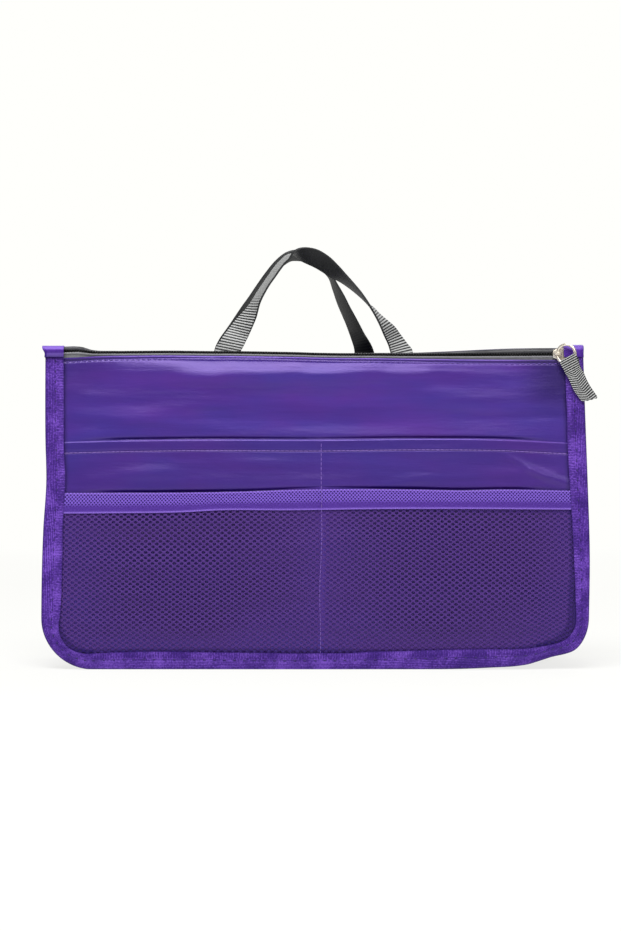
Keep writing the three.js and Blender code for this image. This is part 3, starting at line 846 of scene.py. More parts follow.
def hemBead(off):  # the folded edge stands out like a thin cord with a groove below it
    return 0.8 * sewnGroove(off + 1.55) - hemSeam["bead"] * line(off + 0.5, 0.5)


def edgeGap(x, off):  # cloth behind a pocket's edge falls back into shade
    return hemSeam["gape"] * smooth((130 - np.abs(x)) / 30) * line(off, 1.0)


def sideShade(x, z):  # shade beside the bound edge
    return 0.65 * smooth((np.abs(x) - halfAt(z, pouch["edge"]) + 1.6) / 1.6)


def slipEdge(x):
    return slipPocket["height"] + throughPoints(x, *slipPocket["edge"])


def bandEdges(x):  # bottom and top of the mesh band
    return throughPoints(x, *meshBand["low"]), throughPoints(x, *meshBand["top"])


def makeOuterPanel(place):
    piece, u, v = newGrid(f"{place}OuterPanel", 190, 140)
    hem = hemHeight(place, (2 * u - 1) * hemHalf)
    z = crowd(v, [0, 0.28, 0.57, 0.77], [pouch["inset"], 114, 129, 155], hem)
    x = (2 * u - 1) * halfAt(z, pouch["inset"])
    fromHem, fromPocket = z - hem, z - slipEdge(x)
    turned = np.clip((fromHem + 0.5) / 0.5, 0, 1) ** 2  # the hem turns back at the zip
    drawn = sewnGroove(fromHem + hemSeam["below"]) + hemBead(fromHem) + edgeGap(x, fromPocket - 0.4)
    setPlaces(piece, settledFrom(place, x, faceDepth(place, x, z) + 0.4 * turned + drawn, z))
    setFlatMap(piece, x * mm, z * mm)
    # painted highlight along the hem's folded edge; painted shade in the groove below it, along the stitches,
    # above each slip pocket's mouth and beside the bound edge
    paintedLight = (0.3 + 0.5 * rollShare(x)) * line(fromHem + 0.4, 0.4) - 0.8 * line(fromHem + 1.3, 0.45)
    paintedLight = paintedLight - 0.3 * line(fromHem + 2.1, 0.5)
    paintedLight = paintedLight - (0.15 + 0.75 * pocketGape(x) ** 2) * line(fromPocket - 0.3, 0.8) - sideShade(x, z)
    if place == "front":
        paintedLight = paintedLight - smooth((x - 103) / 26) * smooth((z - 130) / 22)  # deep shade beside the slider
        # painted shade in the top left corner
        paintedLight = paintedLight - 0.35 * smooth((-95 - x) / 35) * smooth((z - 140) / 16)
    paintLightAndShade(piece, paintedLight)
    finishSheet(piece, place, "outer_panel", "nylon", pouch["cloth"])


def makeSlipPocket(place):
    piece, u, v = newGrid(f"{place}SlipPocket", 190, 130)
    edge = slipEdge((2 * u - 1) * hemHalf)
    z = crowd(v, [0, 0.28, 0.5, 0.7], [pouch["inset"], 91, 99, 113], edge)
    x = (2 * u - 1) * halfAt(z, pouch["inset"])
    fromEdge, fromSeam = z - edge, z - edge + slipPocket["hem"]
    turned = np.clip((fromEdge + 0.9) / 0.9, 0, 1) ** 2  # the folded hem is round at its top
    depth = slipDepth(place, x, z) + 0.7 * turned + sewnGroove(fromSeam)
    # painted highlight along the folded edge; painted shade all over, along the hem's seam and beside the
    # bound edge
    paintedLight = 0.5 * line(fromEdge + 0.5, 0.4) - 0.26 - 0.15 * line(fromSeam, 0.5) - sideShade(x, z)
    if place == "front":
        above = z - bandEdges(x)[1]
        depth = depth + edgeGap(x, above - 0.4)
        # painted shade just above the mesh band
        paintedLight = paintedLight - (0.35 + 0.4 * pocketGape(x)) * line(above - 0.2, 1.0)
    setPlaces(piece, settledFrom(place, x, depth, z))
    setFlatMap(piece, x * mm, (z + 400) * mm)
    paintLightAndShade(piece, paintedLight)
    finishSheet(piece, place, "slip_pocket", "nylon", slipPocket["cloth"])


def makeInnerPanel(place):
    piece, u, v = newGrid(f"{place}InnerPanel", 150, 110)
    x = (2 * u - 1) * hemHalf
    _, top, _ = zipPoint(place, x, zipSize(x, "width"))
    z = pouch["inset"] + v * (top + 0.2 - pouch["inset"])
    x = (2 * u - 1) * halfAt(z, pouch["inset"])
    setPlaces(piece, settledFrom(place, x, innerDepth(place, x, z), z))
    setFlatMap(piece, x * mm, (z + 800) * mm)
    paintLightAndShade(piece, -smooth((z - top + 5) / 3))  # shade under the tape
    finishSheet(piece, place, "inner_panel", "nylon", pouch["cloth"])


innerPocket = {"height": 105.0, "inset": 13.0, "half": 131, "gape": 1.6, "off": 0.75}


def innerPocketDepth(place, x, z):
    wide = innerPocket["half"]
    half = np.abs(np.where(x < 0, (x + wide) / wide, x / wide))
    gape = np.sin(np.pi * np.clip(half, 0, 1)) ** 0.8
    swell = innerPocket["gape"] * gape * smooth((z - 30) / 75) ** 1.5
    folds = 0.3 * gape * (1 + softNoise(x, z, 50, 12, seeds["innerPocket"][place]))
    return innerDepth(place, x, z) + innerPocket["off"] + swell + folds


def makeInnerPocket(place):
    piece, u, v = newGrid(f"{place}InnerPocket", 120, 60)
    inset, top = innerPocket["inset"], innerPocket["height"]
    z = inset + v * (top - inset)
    x = (1 - 2 * u) * halfAt(z, inset)  # its face looks into the main compartment
    setPlaces(piece, settledFrom(place, x, innerPocketDepth(place, x, z), z))
    setFlatMap(piece, x * mm, (z + 1200) * mm)
    finishSheet(piece, place, "inner_pocket", "nylon", pouch["cloth"])


def makeNet():  # one knitted gap, repeated in staggered rows
    wide, tall = meshPocket["pitch"]
    gapWide, gapTall = meshPocket["gap"]
    clearSelection()
    bpy.ops.mesh.primitive_circle_add(vertices=6, radius=1, fill_type="NGON")
    piece = nameLast("frontMeshPocket")
    top = (wide**2 - tall**2) / (4 * wide)  # half the flat top of a cell
    point = wide / 2 - top
    high = tall / 2
    outline = [(top, high), (-top, high), (-point, 0), (-top, -high), (top, -high), (point, 0)]
    setPlaces(piece, [(x, y, 0) for x, y in outline])
    editAll(piece)
    bpy.ops.mesh.normals_make_consistent(inside=False)
    bpy.ops.mesh.inset(thickness=0.3, depth=0)
    bpy.ops.mesh.delete(type="ONLY_FACE")  # the middle is the gap
    leaveEdit()
    places = getPlaces(piece)
    for x, y in outline:
        near = len(outline) + np.argmin(np.hypot(*(places[len(outline) :, :2] - (x, y)).T))
        share = 0.5 if y == 0 else 0.27
        places[near] = (np.sign(x) * gapWide * share, np.sign(y) * gapTall / 2, -meshPocket["crown"])
    setPlaces(piece, places)
    columns, rows = meshPocket["cells"]
    for count, step in ((2, (wide / 2, tall / 2, 0)), (columns, (wide, 0, 0)), (rows, (0, tall, 0))):
        addRow(piece, count, step)
    finishModifiers(piece)
    return piece


def netPlaces(piece):
    flat = getPlaces(piece)
    return flat[:, 0] + meshPocket["from"][0], flat[:, 1] + meshPocket["from"][1], flat[:, 2]


def cutNet(piece):  # to the pouch, with edges that go under the binding and the band
    x, z, _ = netPlaces(piece)
    inset = meshPocket["inset"]
    inside = (np.abs(x) < halfAt(z, inset)) & (z > inset) & (z < meshPocket["top"] + meshPocket["hidden"])
    piece.data.vertices.foreach_set("select", inside)
    pickOnly(piece)
    bpy.ops.object.mode_set(mode="EDIT")
    bpy.ops.mesh.select_mode(type="VERT")
    leaveEdit()
    for polygon in piece.data.polygons:
        polygon.select = bool(inside[list(polygon.vertices)].all())
    bpy.ops.object.mode_set(mode="EDIT")
    bpy.ops.mesh.select_mode(type="FACE")
    bpy.ops.mesh.select_all(action="INVERT")
    bpy.ops.mesh.delete(type="FACE")
    bpy.ops.mesh.select_all(action="SELECT")
    bpy.ops.mesh.remove_doubles(threshold=0.02)
    leaveEdit()


def makeMeshPocket():
    piece = makeNet()
    cutNet(piece)
    x, z, high = netPlaces(piece)
    # the knit is pulled about a little
    shiftX = 0.7 * softNoise(x, z, 38, 30, seeds["knit"][0])
    shiftZ = 0.8 * softNoise(x, z, 44, 26, seeds["knit"][1])
    setPlaces(piece, settledFrom("front", x + shiftX, netDepth(x, z) - high, z + shiftZ))
    setFlatMap(piece, x * mm, z * mm)
    # painted shade beside the bound edge, along the foot and just below the band
    paintedLight = -sideShade(x, z) - 0.65 * smooth((11.6 - z) / 1.6) - 0.7 * line(z - bandEdges(x)[0] + 0.3, 0.6)
    paintLightAndShade(piece, paintedLight)
    finishSheet(piece, "front", "mesh_pocket", "net", meshPocket["yarn"], 60)
    print("net points:", len(piece.data.vertices))


def makeMeshBand():  # woven tape folded over the top of the net
    piece, u, v = newGrid("frontMeshBand", 260, 64)
    x = (2 * u - 1) * meshBand["half"]
    low, top = bandEdges(x)
    across = v * 2 - 1  # from the front's lower edge over the fold and down behind
    fold = np.abs(across)
    rise = 1 - np.clip((fold - 0.06) / 0.94, 0, 1)
    z = low + (top - low) * rise
    bend = np.clip(fold / 0.06, 0, 1)
    front = netDepth(x, np.minimum(z, meshPocket["top"])) - meshBand["thick"] * 0.5
    swell = 0.18 * np.sin(np.pi * np.clip(rise, 0, 1)) * (1 + softNoise(x, z, 21, 40, seeds["band"]))
    swell = swell + 0.3 * line(z - low - 0.5, 0.4) + 0.25 * line(z - top + 0.7, 0.5)  # its cord-like edges
    y = np.where(across < 0, front - swell, front + meshBand["thick"])
    middle = front + meshBand["thick"] / 2
    y = middle + (y - middle) * np.sqrt(1 - (1 - bend) ** 2)
    setPlaces(piece, settledFrom("front", x, y, z))
    setFlatMap(piece, x * mm, across * meshBand["width"] * mm)
    # painted highlights along its two rounded edges
    paintLightAndShade(piece, 0.7 * line(z - low - 0.4, 0.35) + 0.45 * line(z - top + 0.4, 0.4))
    finishSheet(piece, "front", "mesh_band", "band", meshBand["cloth"], 60)


# The bound edge: tape folded over the sides and the bottom
edgeTape = {
    "wide": 10.0,
    "tape": 0.5,
    "fold": 1.3,
    "groove": 0.28,
    "grooveAt": 5.7,
    "top": 170.2,  # where it ends under its folded end
    "lies": (  # how wide it lies along its length, from the left top to the right top
        [0, 80, 115, 140, 166, 192, 300, 420, 443, 468, 500, 535, 610],
        [1, 1.03, 1.07, 1.04, 0.72, 0.88, 0.9, 0.9, 0.68, 0.72, 0.87, 0.98, 1],
    ),
}
edgeEnd = {
    "low": 166.2,
    "high": 0.15,  # above the pouch's height
    "wider": 1.03,
    "tape": 0.45,
    # how far it lies out, stands off at its lower edge and flares; its painted highlight at the top, and
    # painted shade all over and below
    "Left": {"out": 0.3, "off": 1.1, "flare": 1.4, "light": (1.05, 0.5, 0.35)},
    "Right": {"out": -0.3, "off": 0.0, "flare": 0.2, "light": (0.55, 0.15, 0.15)},
}


def edgePath(t):  # a point of the pouch's edge and the way in; t runs from the left top to the right top
    half, corner, height = pouch["halfWidth"], pouch["corner"], pouch["height"]
    side, arc, foot = height - corner, corner * math.pi / 2, 2 * (half - corner)
    marks = np.cumsum([0, side, arc, foot, arc, side])
    at = t * marks[-1]
    first = np.clip((at - marks[1]) / arc, 0, 1) * math.pi / 2
    second = np.clip((at - marks[3]) / arc, 0, 1) * math.pi / 2
    turn = first + second  # 0 on the left side, 90 degrees at the foot, 180 on the right side
    inX, inZ = np.cos(turn), np.sin(turn)
    x = np.where(turn < math.pi / 2 + 1e-9, corner - half, half - corner) - corner * inX
    x = np.where((at > marks[2]) & (at < marks[3]), corner - half + at - marks[2], x)
    z = corner - corner * inZ
    z = np.where(at < marks[1], height - at, z)
    z = np.where(at > marks[4], corner + at - marks[4], z)
    return x, z, inX, inZ, at


def edgeSection(q):  # the folded tape, from its back edge round the fold to its front edge
    wide, fold = edgeTape["wide"], edgeTape["fold"]
    back, front = layer["edgeBack"], layer["edgeFront"]
    flank, arc, foot = wide - fold, fold * math.pi / 2, back - front - 2 * fold
    marks = np.cumsum([0, flank, arc, foot, arc, flank])
    at = q * marks[-1]
    first = np.clip((at - marks[1]) / arc, 0, 1) * math.pi / 2
    second = np.clip((at - marks[3]) / arc, 0, 1) * math.pi / 2
    deep = fold * (1 - np.sin(first)) + np.clip(marks[1] - at, 0, None)
    deep = np.where(at > marks[3], fold * (1 - np.cos(second)) + np.clip(at - marks[4], 0, None), deep)
    y = back - fold * (1 - np.cos(first)) - np.clip(at - marks[2], 0, foot) - fold * np.sin(second)
    return deep, y, at, marks[-1]


def makeBinding(place):
    piece, u, v = newGrid(f"{place}Binding", 320, 36)
    x, z, inX, inZ, along = edgePath(u)
    z = np.minimum(z, edgeTape["top"])
    deep, y, across, wide = edgeSection(v)
    side = np.where(y < 0.9, -1.0, 1.0)
    flank = smooth((deep - 1.0) / 2.0)
    groove = edgeTape["groove"] * line(deep - edgeTape["grooveAt"], 0.9) * flank
    hills = softNoise(along, across, 9, 4.5, seeds["binding"][place])
    puff = 0.22 * flank * (1 + hills) * smooth((9.9 - deep) / 2)
    y = y + side * (puff - groove)
    reach = deep + 0.25 * softNoise(along, side, 14, 2.0, seeds["bindingEdge"]) * smooth((deep - 6) / 4)
    if place == "front":
        reach = reach * (1 + (throughPoints(along, *edgeTape["lies"]) - 1) * smooth(deep / 6))
    sx, sz = settle(place, x + reach * inX, z + reach * inZ)
    setPlaces(piece, worldFrom(place, sx, y, np.maximum(sz, 0.1)))
    fromEdge = np.minimum(across, wide - across)
    setFlatMap(piece, fromEdge * mm, along * mm)
    # painted shade beside the cloth, along the fold and just below the folded ends, and a little darker round
    # the bottom
    under = pouch["height"] - edgeEnd["low"]
    paintedLight = -0.6 * line(fromEdge, 0.4) - 0.45 * smooth((fromEdge - 9.3) / 0.8)
    paintedLight = paintedLight - 0.9 * smooth((under + 0.9 - along) / 0.5)
    paintedLight = paintedLight - 0.16 * smooth((along - 150) / 30) * smooth((460 - along) / 30)
    paintLightAndShade(piece, paintedLight)
    finishSheet(piece, place, "binding", "binding", edgeTape["tape"], 60)
    caps = [makeBindingEnd(place, side) for side in (-1, 1)]


def makeBindingEnd(place, side):  # the turned-in end of the tape, wrapped over the top
    name = "Left" if side < 0 else "Right"
    end = edgeEnd[name]
    piece, u, v = newGrid(f"{place}BindingEnd{name}", 14, 36)
    deep, y, across, _ = edgeSection(v if side < 0 else 1 - v)
    low, top = edgeEnd["low"], pouch["height"] + edgeEnd["high"]
    z = low + (top - low) * smooth(u) ** 0.9
    if side < 0:
        z = low + top - z
    crown = np.clip((z - top + 2.6) / 2.6, 0, 1)
    close = np.sqrt(np.maximum(1 - crown**2, 0.02))
    middle = 0.5 * (layer["edgeFront"] + layer["edgeBack"])
    offset = 0.5 + end["off"] * line(z - low, 1.3)
    y = middle + (y - middle + np.sign(y - middle) * offset * smooth(np.abs(y - middle) / 1.5)) * close
    out = end["out"] + end["flare"] * smooth((z - 168) / 3.5) * smooth((5 - deep) / 5)
    x = side * (pouch["halfWidth"] + out - deep * edgeEnd["wider"])
    setPlaces(piece, settledFrom(place, x, y, z))
    setFlatMap(piece, across * mm, (z + 700) * mm)
    lit, dim, under = end["light"]
    # painted highlight at the top, painted shade all over and below the lower edge
    paintLightAndShade(piece, lit * smooth((z - 169.4) / 1.6) - dim - under * smooth((low + 1.6 - z) / 1.2))
    addThickness(piece, edgeEnd["tape"])
    shade(piece, 60)
    dress(piece, looks["flap"])
    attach(piece, f"{place}_pouch")
    return piece


# The zip: two tapes over a coil, with a narrow slit between them
zipTape = {
    "thick": 0.36,
    "sunk": 0.12,
    "under": 9.0,  # how far the outer one reaches down behind the panel
    "turn": 8.6,  # how far the inner one turns down
    "drop": 0.25,  # it turns down this far below the strip's top
    "onStrip": 0.8,  # the share of its rows that lie on the strip
    "swell": 0.42,
    "swellWide": 0.75,
}


def tapeLift(s, edge):  # the tape bulges over the coil and its edge dips into the slit
    off = np.abs(s - edge)
    return zipTape["swell"] * line(off - 0.95, zipTape["swellWide"]) - 0.2 * line(off, 0.22)


def onZip(place, x, s, lift):  # lift is away from the coil, to the outside
    y, z, lean = zipPoint(place, x, s)
    return settledFrom(place, x, y - lift * np.cos(lean), z + lift * np.sin(lean))


def makeOuterTape(place):
    piece, u, v = newGrid(f"{place}ZipTapeOuter", 300, 40)
    x = (2 * u - 1) * clothHalf
    edge = zipSize(x, "lower") - partedBy(x)
    s = -zipTape["under"] + np.where(v < 0.2, v / 0.2, 1) * zipTape["under"]
    s = s + np.clip((v - 0.2) / 0.8, 0, 1) * edge
    lift = tapeLift(s, edge) * smooth((s + 0.4) / 0.8)
    setPlaces(piece, onZip(place, x, s, lift - zipTape["sunk"]))
    setFlatMap(piece, x * mm, s * mm)
    # light along the coil, shade down to the hem
    shaded = (0.45 + 0.4 * smooth((-95 - x) / 30)) * smooth((0.9 - s / edge) / 0.5)
    paintLightAndShade(piece, 0.5 * line(edge - s - 0.35, 0.45) - shaded)
    return piece


def makeInnerTape(place):  # its far edge turns down in front of the inner panel
    piece, u, v = newGrid(f"{place}ZipTapeInner", 300, 40)
    x = (2 * u - 1) * clothHalf
    start, width = zipSize(x, "upper") + partedBy(x), zipSize(x, "width")
    s = start + np.clip(v / zipTape["onStrip"], 0, 1) * (width - start)
    down = np.clip((v - zipTape["onStrip"]) / 0.2, 0, 1) * zipTape["turn"]
    lift = tapeLift(s, start) * smooth((width - s) / 0.5)
    places = onZip(place, x, s, lift - zipTape["sunk"])
    _, top, _ = zipPoint(place, x, width)
    z = top - zipTape["drop"] - down
    hidden = settledFrom(place, x, innerDepth(place, x, z) - zipTape["sunk"], z)
    setPlaces(piece, np.where((v > zipTape["onStrip"] + 0.0001)[:, None], hidden, places))
    setFlatMap(piece, x * mm, (s + down) * mm)
    return piece


def makeZipTapes(place):
    outer, inner = makeOuterTape(place), makeInnerTape(place)
    tapes = ((outer, "outer", 11.0, "zip_tape"), (inner, "inner", 10.6, "zipTapePaintedShade"))
    for piece, side, wide, look in tapes:
        finishSheet(piece, place, f"zip_tape_{side}", look, zipTape["thick"], 60)


coil = {
    "half": 138.5,
    "pitch": 1.4,
    "loop": (0.66, 0.5, 1.15),  # one flattened loop of the wire
    "apart": 0.42,  # how far each side's loops lie from the slit's middle
    "deep": 0.5,
}


def makeCoils(place):
    clearSelection()
    bpy.ops.mesh.primitive_torus_add(major_segments=9, minor_segments=4, major_radius=1.0, minor_radius=0.42)
    tooth = bpy.context.object
    stretch(tooth, coil["loop"])
    count = int(2 * coil["half"] / coil["pitch"])
    for name, way in (("outer", -1), ("inner", 1)):
        x = -coil["half"] + coil["pitch"] * (np.arange(count) + (0.5 if way > 0 else 0))
        middle = 0.5 * (zipSize(x, "lower") + zipSize(x, "upper"))
        y, z, lean = zipPoint(place, x, middle + way * (coil["apart"] + partedBy(x)))
        sx, sz = settle(place, x, z)
        at = np.stack([sx, y + coil["deep"] * np.cos(lean), sz - coil["deep"] * np.sin(lean)], axis=-1)
        frames = []
        for i in range(count):
            sine, cosine = math.sin(lean[i]), math.cos(lean[i])
            turn = np.stack([(0, sine, cosine), (0, -cosine, sine), (1.0, 0, 0)], axis=-1)
            frames.append((at[i], turn))
        piece = repeatMesh(f"{place}Coil{name.capitalize()}", tooth, frames)
        setOnPouch(piece, place, getPlaces(piece))
        outwards(piece)
        finishPiece(piece, f"{place}_pouch", [f"{place}_zip_coil_{name}"], "coil")
    discard(tooth)


# The slider, its ring and its tab
slider = {
    "at": (129.3, 0.7, 168.025),
    "long": 8.8,
    "short": 2.6,  # how far its tail is drawn in
    "plate": 0.8,
    "gap": 0.75,
    "nose": 3.42,
    "tail": 2.3,
    "dome": 0.22,
    "edge": 0.24,
    "flange": ((2.4, 0.5, 0.5), (2.4, 0.62, 2.55)),  # size and place
    "post": ((2.2, 2.2, 1.1), (2.7, 0, 0)),
    "bar": (3.0, 2.2, 0.95),  # the bridge's outer and inner radius and half its width
    "foot": -1.4,  # where the bridge stands
    "bridge": (0.55, 0.75, 1.14),  # its middle, and its length and height as a share of a half round
}


def roundEdges(piece, width, segments=2):
    rounding = piece.modifiers.new("rounding", "BEVEL")
    rounding.width, rounding.segments, rounding.limit_method = width, segments, "ANGLE"
    rounding.angle_limit = math.radians(35)
    finishModifiers(piece)


def newBlock(size, at):
    clearSelection()
    bpy.ops.mesh.primitive_cube_add(size=1, location=at)
    piece = bpy.context.object
    stretch(piece, size)
    bpy.ops.object.transform_apply(location=True, rotation=True, scale=True)
    return piece


def joinAll(pieces, name):
    clearSelection()
    for piece in pieces:
        piece.select_set(True)
    bpy.context.view_layer.objects.active = pieces[0]
    bpy.ops.object.join()
    return nameLast(name)


def makePlate(way):  # narrow at the tail, with a domed outer face
    thick, long, nose = slider["plate"], slider["long"], slider["nose"]
    outside = slider["gap"] + thick
    plate = newBlock((long, thick, 2 * nose), (0, way * (outside - thick / 2), 0))
    editAll(plate)
    bpy.ops.mesh.subdivide(number_cuts=7)
    leaveEdit()
    places = getPlaces(plate)
    half = slider["tail"] + (nose - slider["tail"]) * smooth((places[:, 0] + 3.0) / 5.0)
    ends = np.abs(places[:, 0]) / (long / 2)
    half = half * (1 - 0.16 * smooth((ends - 0.75) / 0.25))
    dome = slider["dome"] * (1 - (places[:, 2] / nose) ** 2) * (1 - ends**2)
    face = way * places[:, 1] > outside - 0.1
    places[:, 2] *= half / nose
    places[:, 1] += np.where(face, way * dome, 0)
    places[:, 0] += slider["short"] * smooth((1.2 - places[:, 0]) / 5.6)
    setPlaces(plate, places)
    roundEdges(plate, slider["edge"], 3)
    return plate


def makeBridge():  # a flat bar spun into an arch
    foot, (outer, inner, half) = slider["foot"], slider["bar"]
    middle, long, high = slider["bridge"]
    clearSelection()
    bpy.ops.mesh.primitive_plane_add(size=1)
    bridge = bpy.context.object
    setPlaces(bridge, [(-x, foot, z) for z in (-half, half) for x in (outer, inner)])
    editAll(bridge)
    bpy.ops.mesh.spin(steps=14, angle=math.pi, center=(0, foot, 0), axis=(0, 0, 1))
    leaveEdit()
    places = getPlaces(bridge)
    if places[:, 1].max() > 0:  # it has to stand outwards
        places[:, 1] = 2 * foot - places[:, 1]
    places[:, 0] = middle + long * places[:, 0]
    places[:, 1] = foot + (places[:, 1] - foot) * high
    places[:, 2] *= 1 - 0.18 * smooth((-places[:, 1] - 3.2) / 1.5)
    setPlaces(bridge, places)
    outwards(bridge)
    roundEdges(bridge, 0.2, 3)
    return bridge


def makeSlider(place):
    parts = []
    size, (x, y, z) = slider["flange"]
    for way in (-1, 1):
        parts.append(makePlate(way))
        for side in (-1, 1):  # the flange that holds the tape's edge
            flange = newBlock(size, (x, way * y, side * z))
            roundEdges(flange, 0.12)
            parts.append(flange)
    post = newBlock(*slider["post"])
    roundEdges(post, 0.3, 3)
    piece = joinAll(parts + [post, makeBridge()], f"{place}ZipSlider")
    setOnPouch(piece, place, getPlaces(piece) + np.array(slider["at"]))
    shade(piece, 50)
    finishPiece(piece, f"{place}_slider", [f"{place}_zip_slider"], "casting")


ring = {"radius": 5.0, "wire": 0.86, "tilt": 25.0, "pivot": (129.3, -2.4, 167.625), "join": 150.0}
ringTilt = math.radians(ring["tilt"])
ringOut = np.array([math.cos(ringTilt), -math.sin(ringTilt), 0.0])  # along the ring from the bridge
ringBack = np.array([math.sin(ringTilt), math.cos(ringTilt), 0.0])
ringUp = np.array([0.0, 0.0, 1.0])


def makeRing(place):
    clearSelection()
    size = {"major_radius": ring["radius"], "minor_radius": ring["wire"]}
    bpy.ops.mesh.primitive_torus_add(major_segments=56, minor_segments=12, **size)
    piece = nameLast(f"{place}PullRing")
    places = getPlaces(piece)
    around = np.arctan2(places[:, 1], places[:, 0])
    fromJoin = np.abs(np.angle(np.exp(1j * (around - math.radians(ring["join"])))))  # where its ends meet
    squeeze = 1 - 0.14 * line(fromJoin, 0.05)
    radius = np.hypot(places[:, 0], places[:, 1])
    radius = ring["radius"] + (radius - ring["radius"]) * squeeze
    flat = np.stack([radius * np.cos(around), radius * np.sin(around), places[:, 2] * squeeze], axis=-1)
    centre = np.array(ring["pivot"]) + ring["radius"] * ringOut
    setOnPouch(piece, place, centre + flat[:, :1] * ringOut + flat[:, 1:2] * ringUp - flat[:, 2:] * ringBack)
    outwards(piece)
    shade(piece, 60)
    finishPiece(piece, f"{place}_ring", [f"{place}_pull_ring"], "metal")


tab = {
    "angle": 65.0,
    "tilt": 12.0,
    "long": 22.7,
    "eye": 1.35,
    "over": 3.0,  # how far it stands above the ring's wire
    "thick": 0.8,
    "top": 9.4,  # how wide it lies over the ring, and below it
    "end": 8.4,
    "neck": 6.0,
    "relief": 0.2,
    "skew": 0.26,
    "aside": -0.5,  # it hangs a little to the left of the ring's middle
    "off": 0.24,  # slope that keeps its left side off the bound edge
    "slant": 0.4,  # how far the ribs sag to either side of the middle
}


def makeTab(place):  # ribbed webbing folded round the ring and sewn to itself
    angle, tilt = math.radians(tab["angle"]), math.radians(tab["tilt"])
    start = math.cos(angle) * ringOut - math.sin(angle) * ringUp
    across = math.sin(angle) * ringOut + math.cos(angle) * ringUp
    down = math.cos(tilt) * start + math.sin(tilt) * ringBack
    back = -math.sin(tilt) * start + math.cos(tilt) * ringBack
    centre = np.array(ring["pivot"]) + ring["radius"] * (1 + math.cos(angle)) * ringOut
    centre = centre - ring["radius"] * math.sin(angle) * ringUp
    piece, u, v = newGrid(f"{place}PullTab", 36, 420)
    straight, bow = tab["long"], math.pi * tab["eye"]
    at = v * (2 * straight + bow)  # from the back's end over the ring to the front's end
    turn = np.clip((at - straight) / bow, 0, 1) * math.pi
    front = at > straight + bow
    run = np.where(at < straight, straight - at, np.where(front, at - straight - bow, 0))
    run = run - tab["over"] * np.sin(turn)
    neck = smooth(run / tab["neck"])
    deep = np.cos(turn) * (tab["eye"] * (1 - neck) + 0.5 * tab["thick"] * 1.05 * neck)
    _, once, rows = np.unique(v, return_index=True, return_inverse=True)
    steps = np.hypot(np.diff(run[once]), np.diff(deep[once]))
    path = np.concatenate([[0], np.cumsum(steps)])[rows]  # length of webbing used
    wide = tab["top"] + (tab["end"] - tab["top"]) * smooth((run + 1) / (tab["neck"] + 2))
    wide = wide * (1 - 0.16 * np.clip((run - straight + 1.4) / 1.4, 0, 1) ** 2)  # round corners
    w = (0.5 - u) * wide
    # the webbing is folded in from both sides: the folds meet along the middle and part towards the ring
    meet = smooth((run - 4) / 4)
    phase = path + tab["slant"] * np.abs(w) * meet * np.where(front, 1, -1)
    ribs = -np.cos(2 * math.pi * phase / webbing["tabRib"])
    part = 2.3 * smooth((8.5 - run) / 6)
    ridge = 0.3 * line(np.abs(w) - part, 0.55) * smooth((run - 2) / 2) * smooth((20 - run) / 5)
    lift = tab["relief"] * np.maximum(ribs, -0.5) * smooth((0.5 * wide - np.abs(w)) / 0.7 + 0.35) + ridge
    curl = 0.9 * smooth((run - 6) / 16) - 0.5 * np.sin(np.pi * np.clip(run / straight, 0, 1))
    sideCurl = (0.5 * (2 * w / wide) ** 2 + tab["off"] * np.minimum(w, 0)) * smooth((run - 2) / 6)
    wave = 0.35 * np.sin(run / 3.1) * meet + tab["aside"] * smooth((run - 1) / 4)  # its sides waver
    deep = deep + np.cos(turn) * lift + curl + sideCurl
    out = -lift * np.sin(turn)
    out = out + tab["skew"] * w * smooth((run - 12) / 10)  # its end is cut askew
    local = centre + (run + out)[:, None] * down + (w + wave)[:, None] * across + deep[:, None] * back
    setOnPouch(piece, place, local)
    setFlatMap(piece, w * mm, phase * mm)
    addThickness(piece, tab["thick"] * 0.5)
    shade(piece, 60)
    finishPiece(piece, f"{place}_tab", [f"{place}_pull_tab"], "tab")


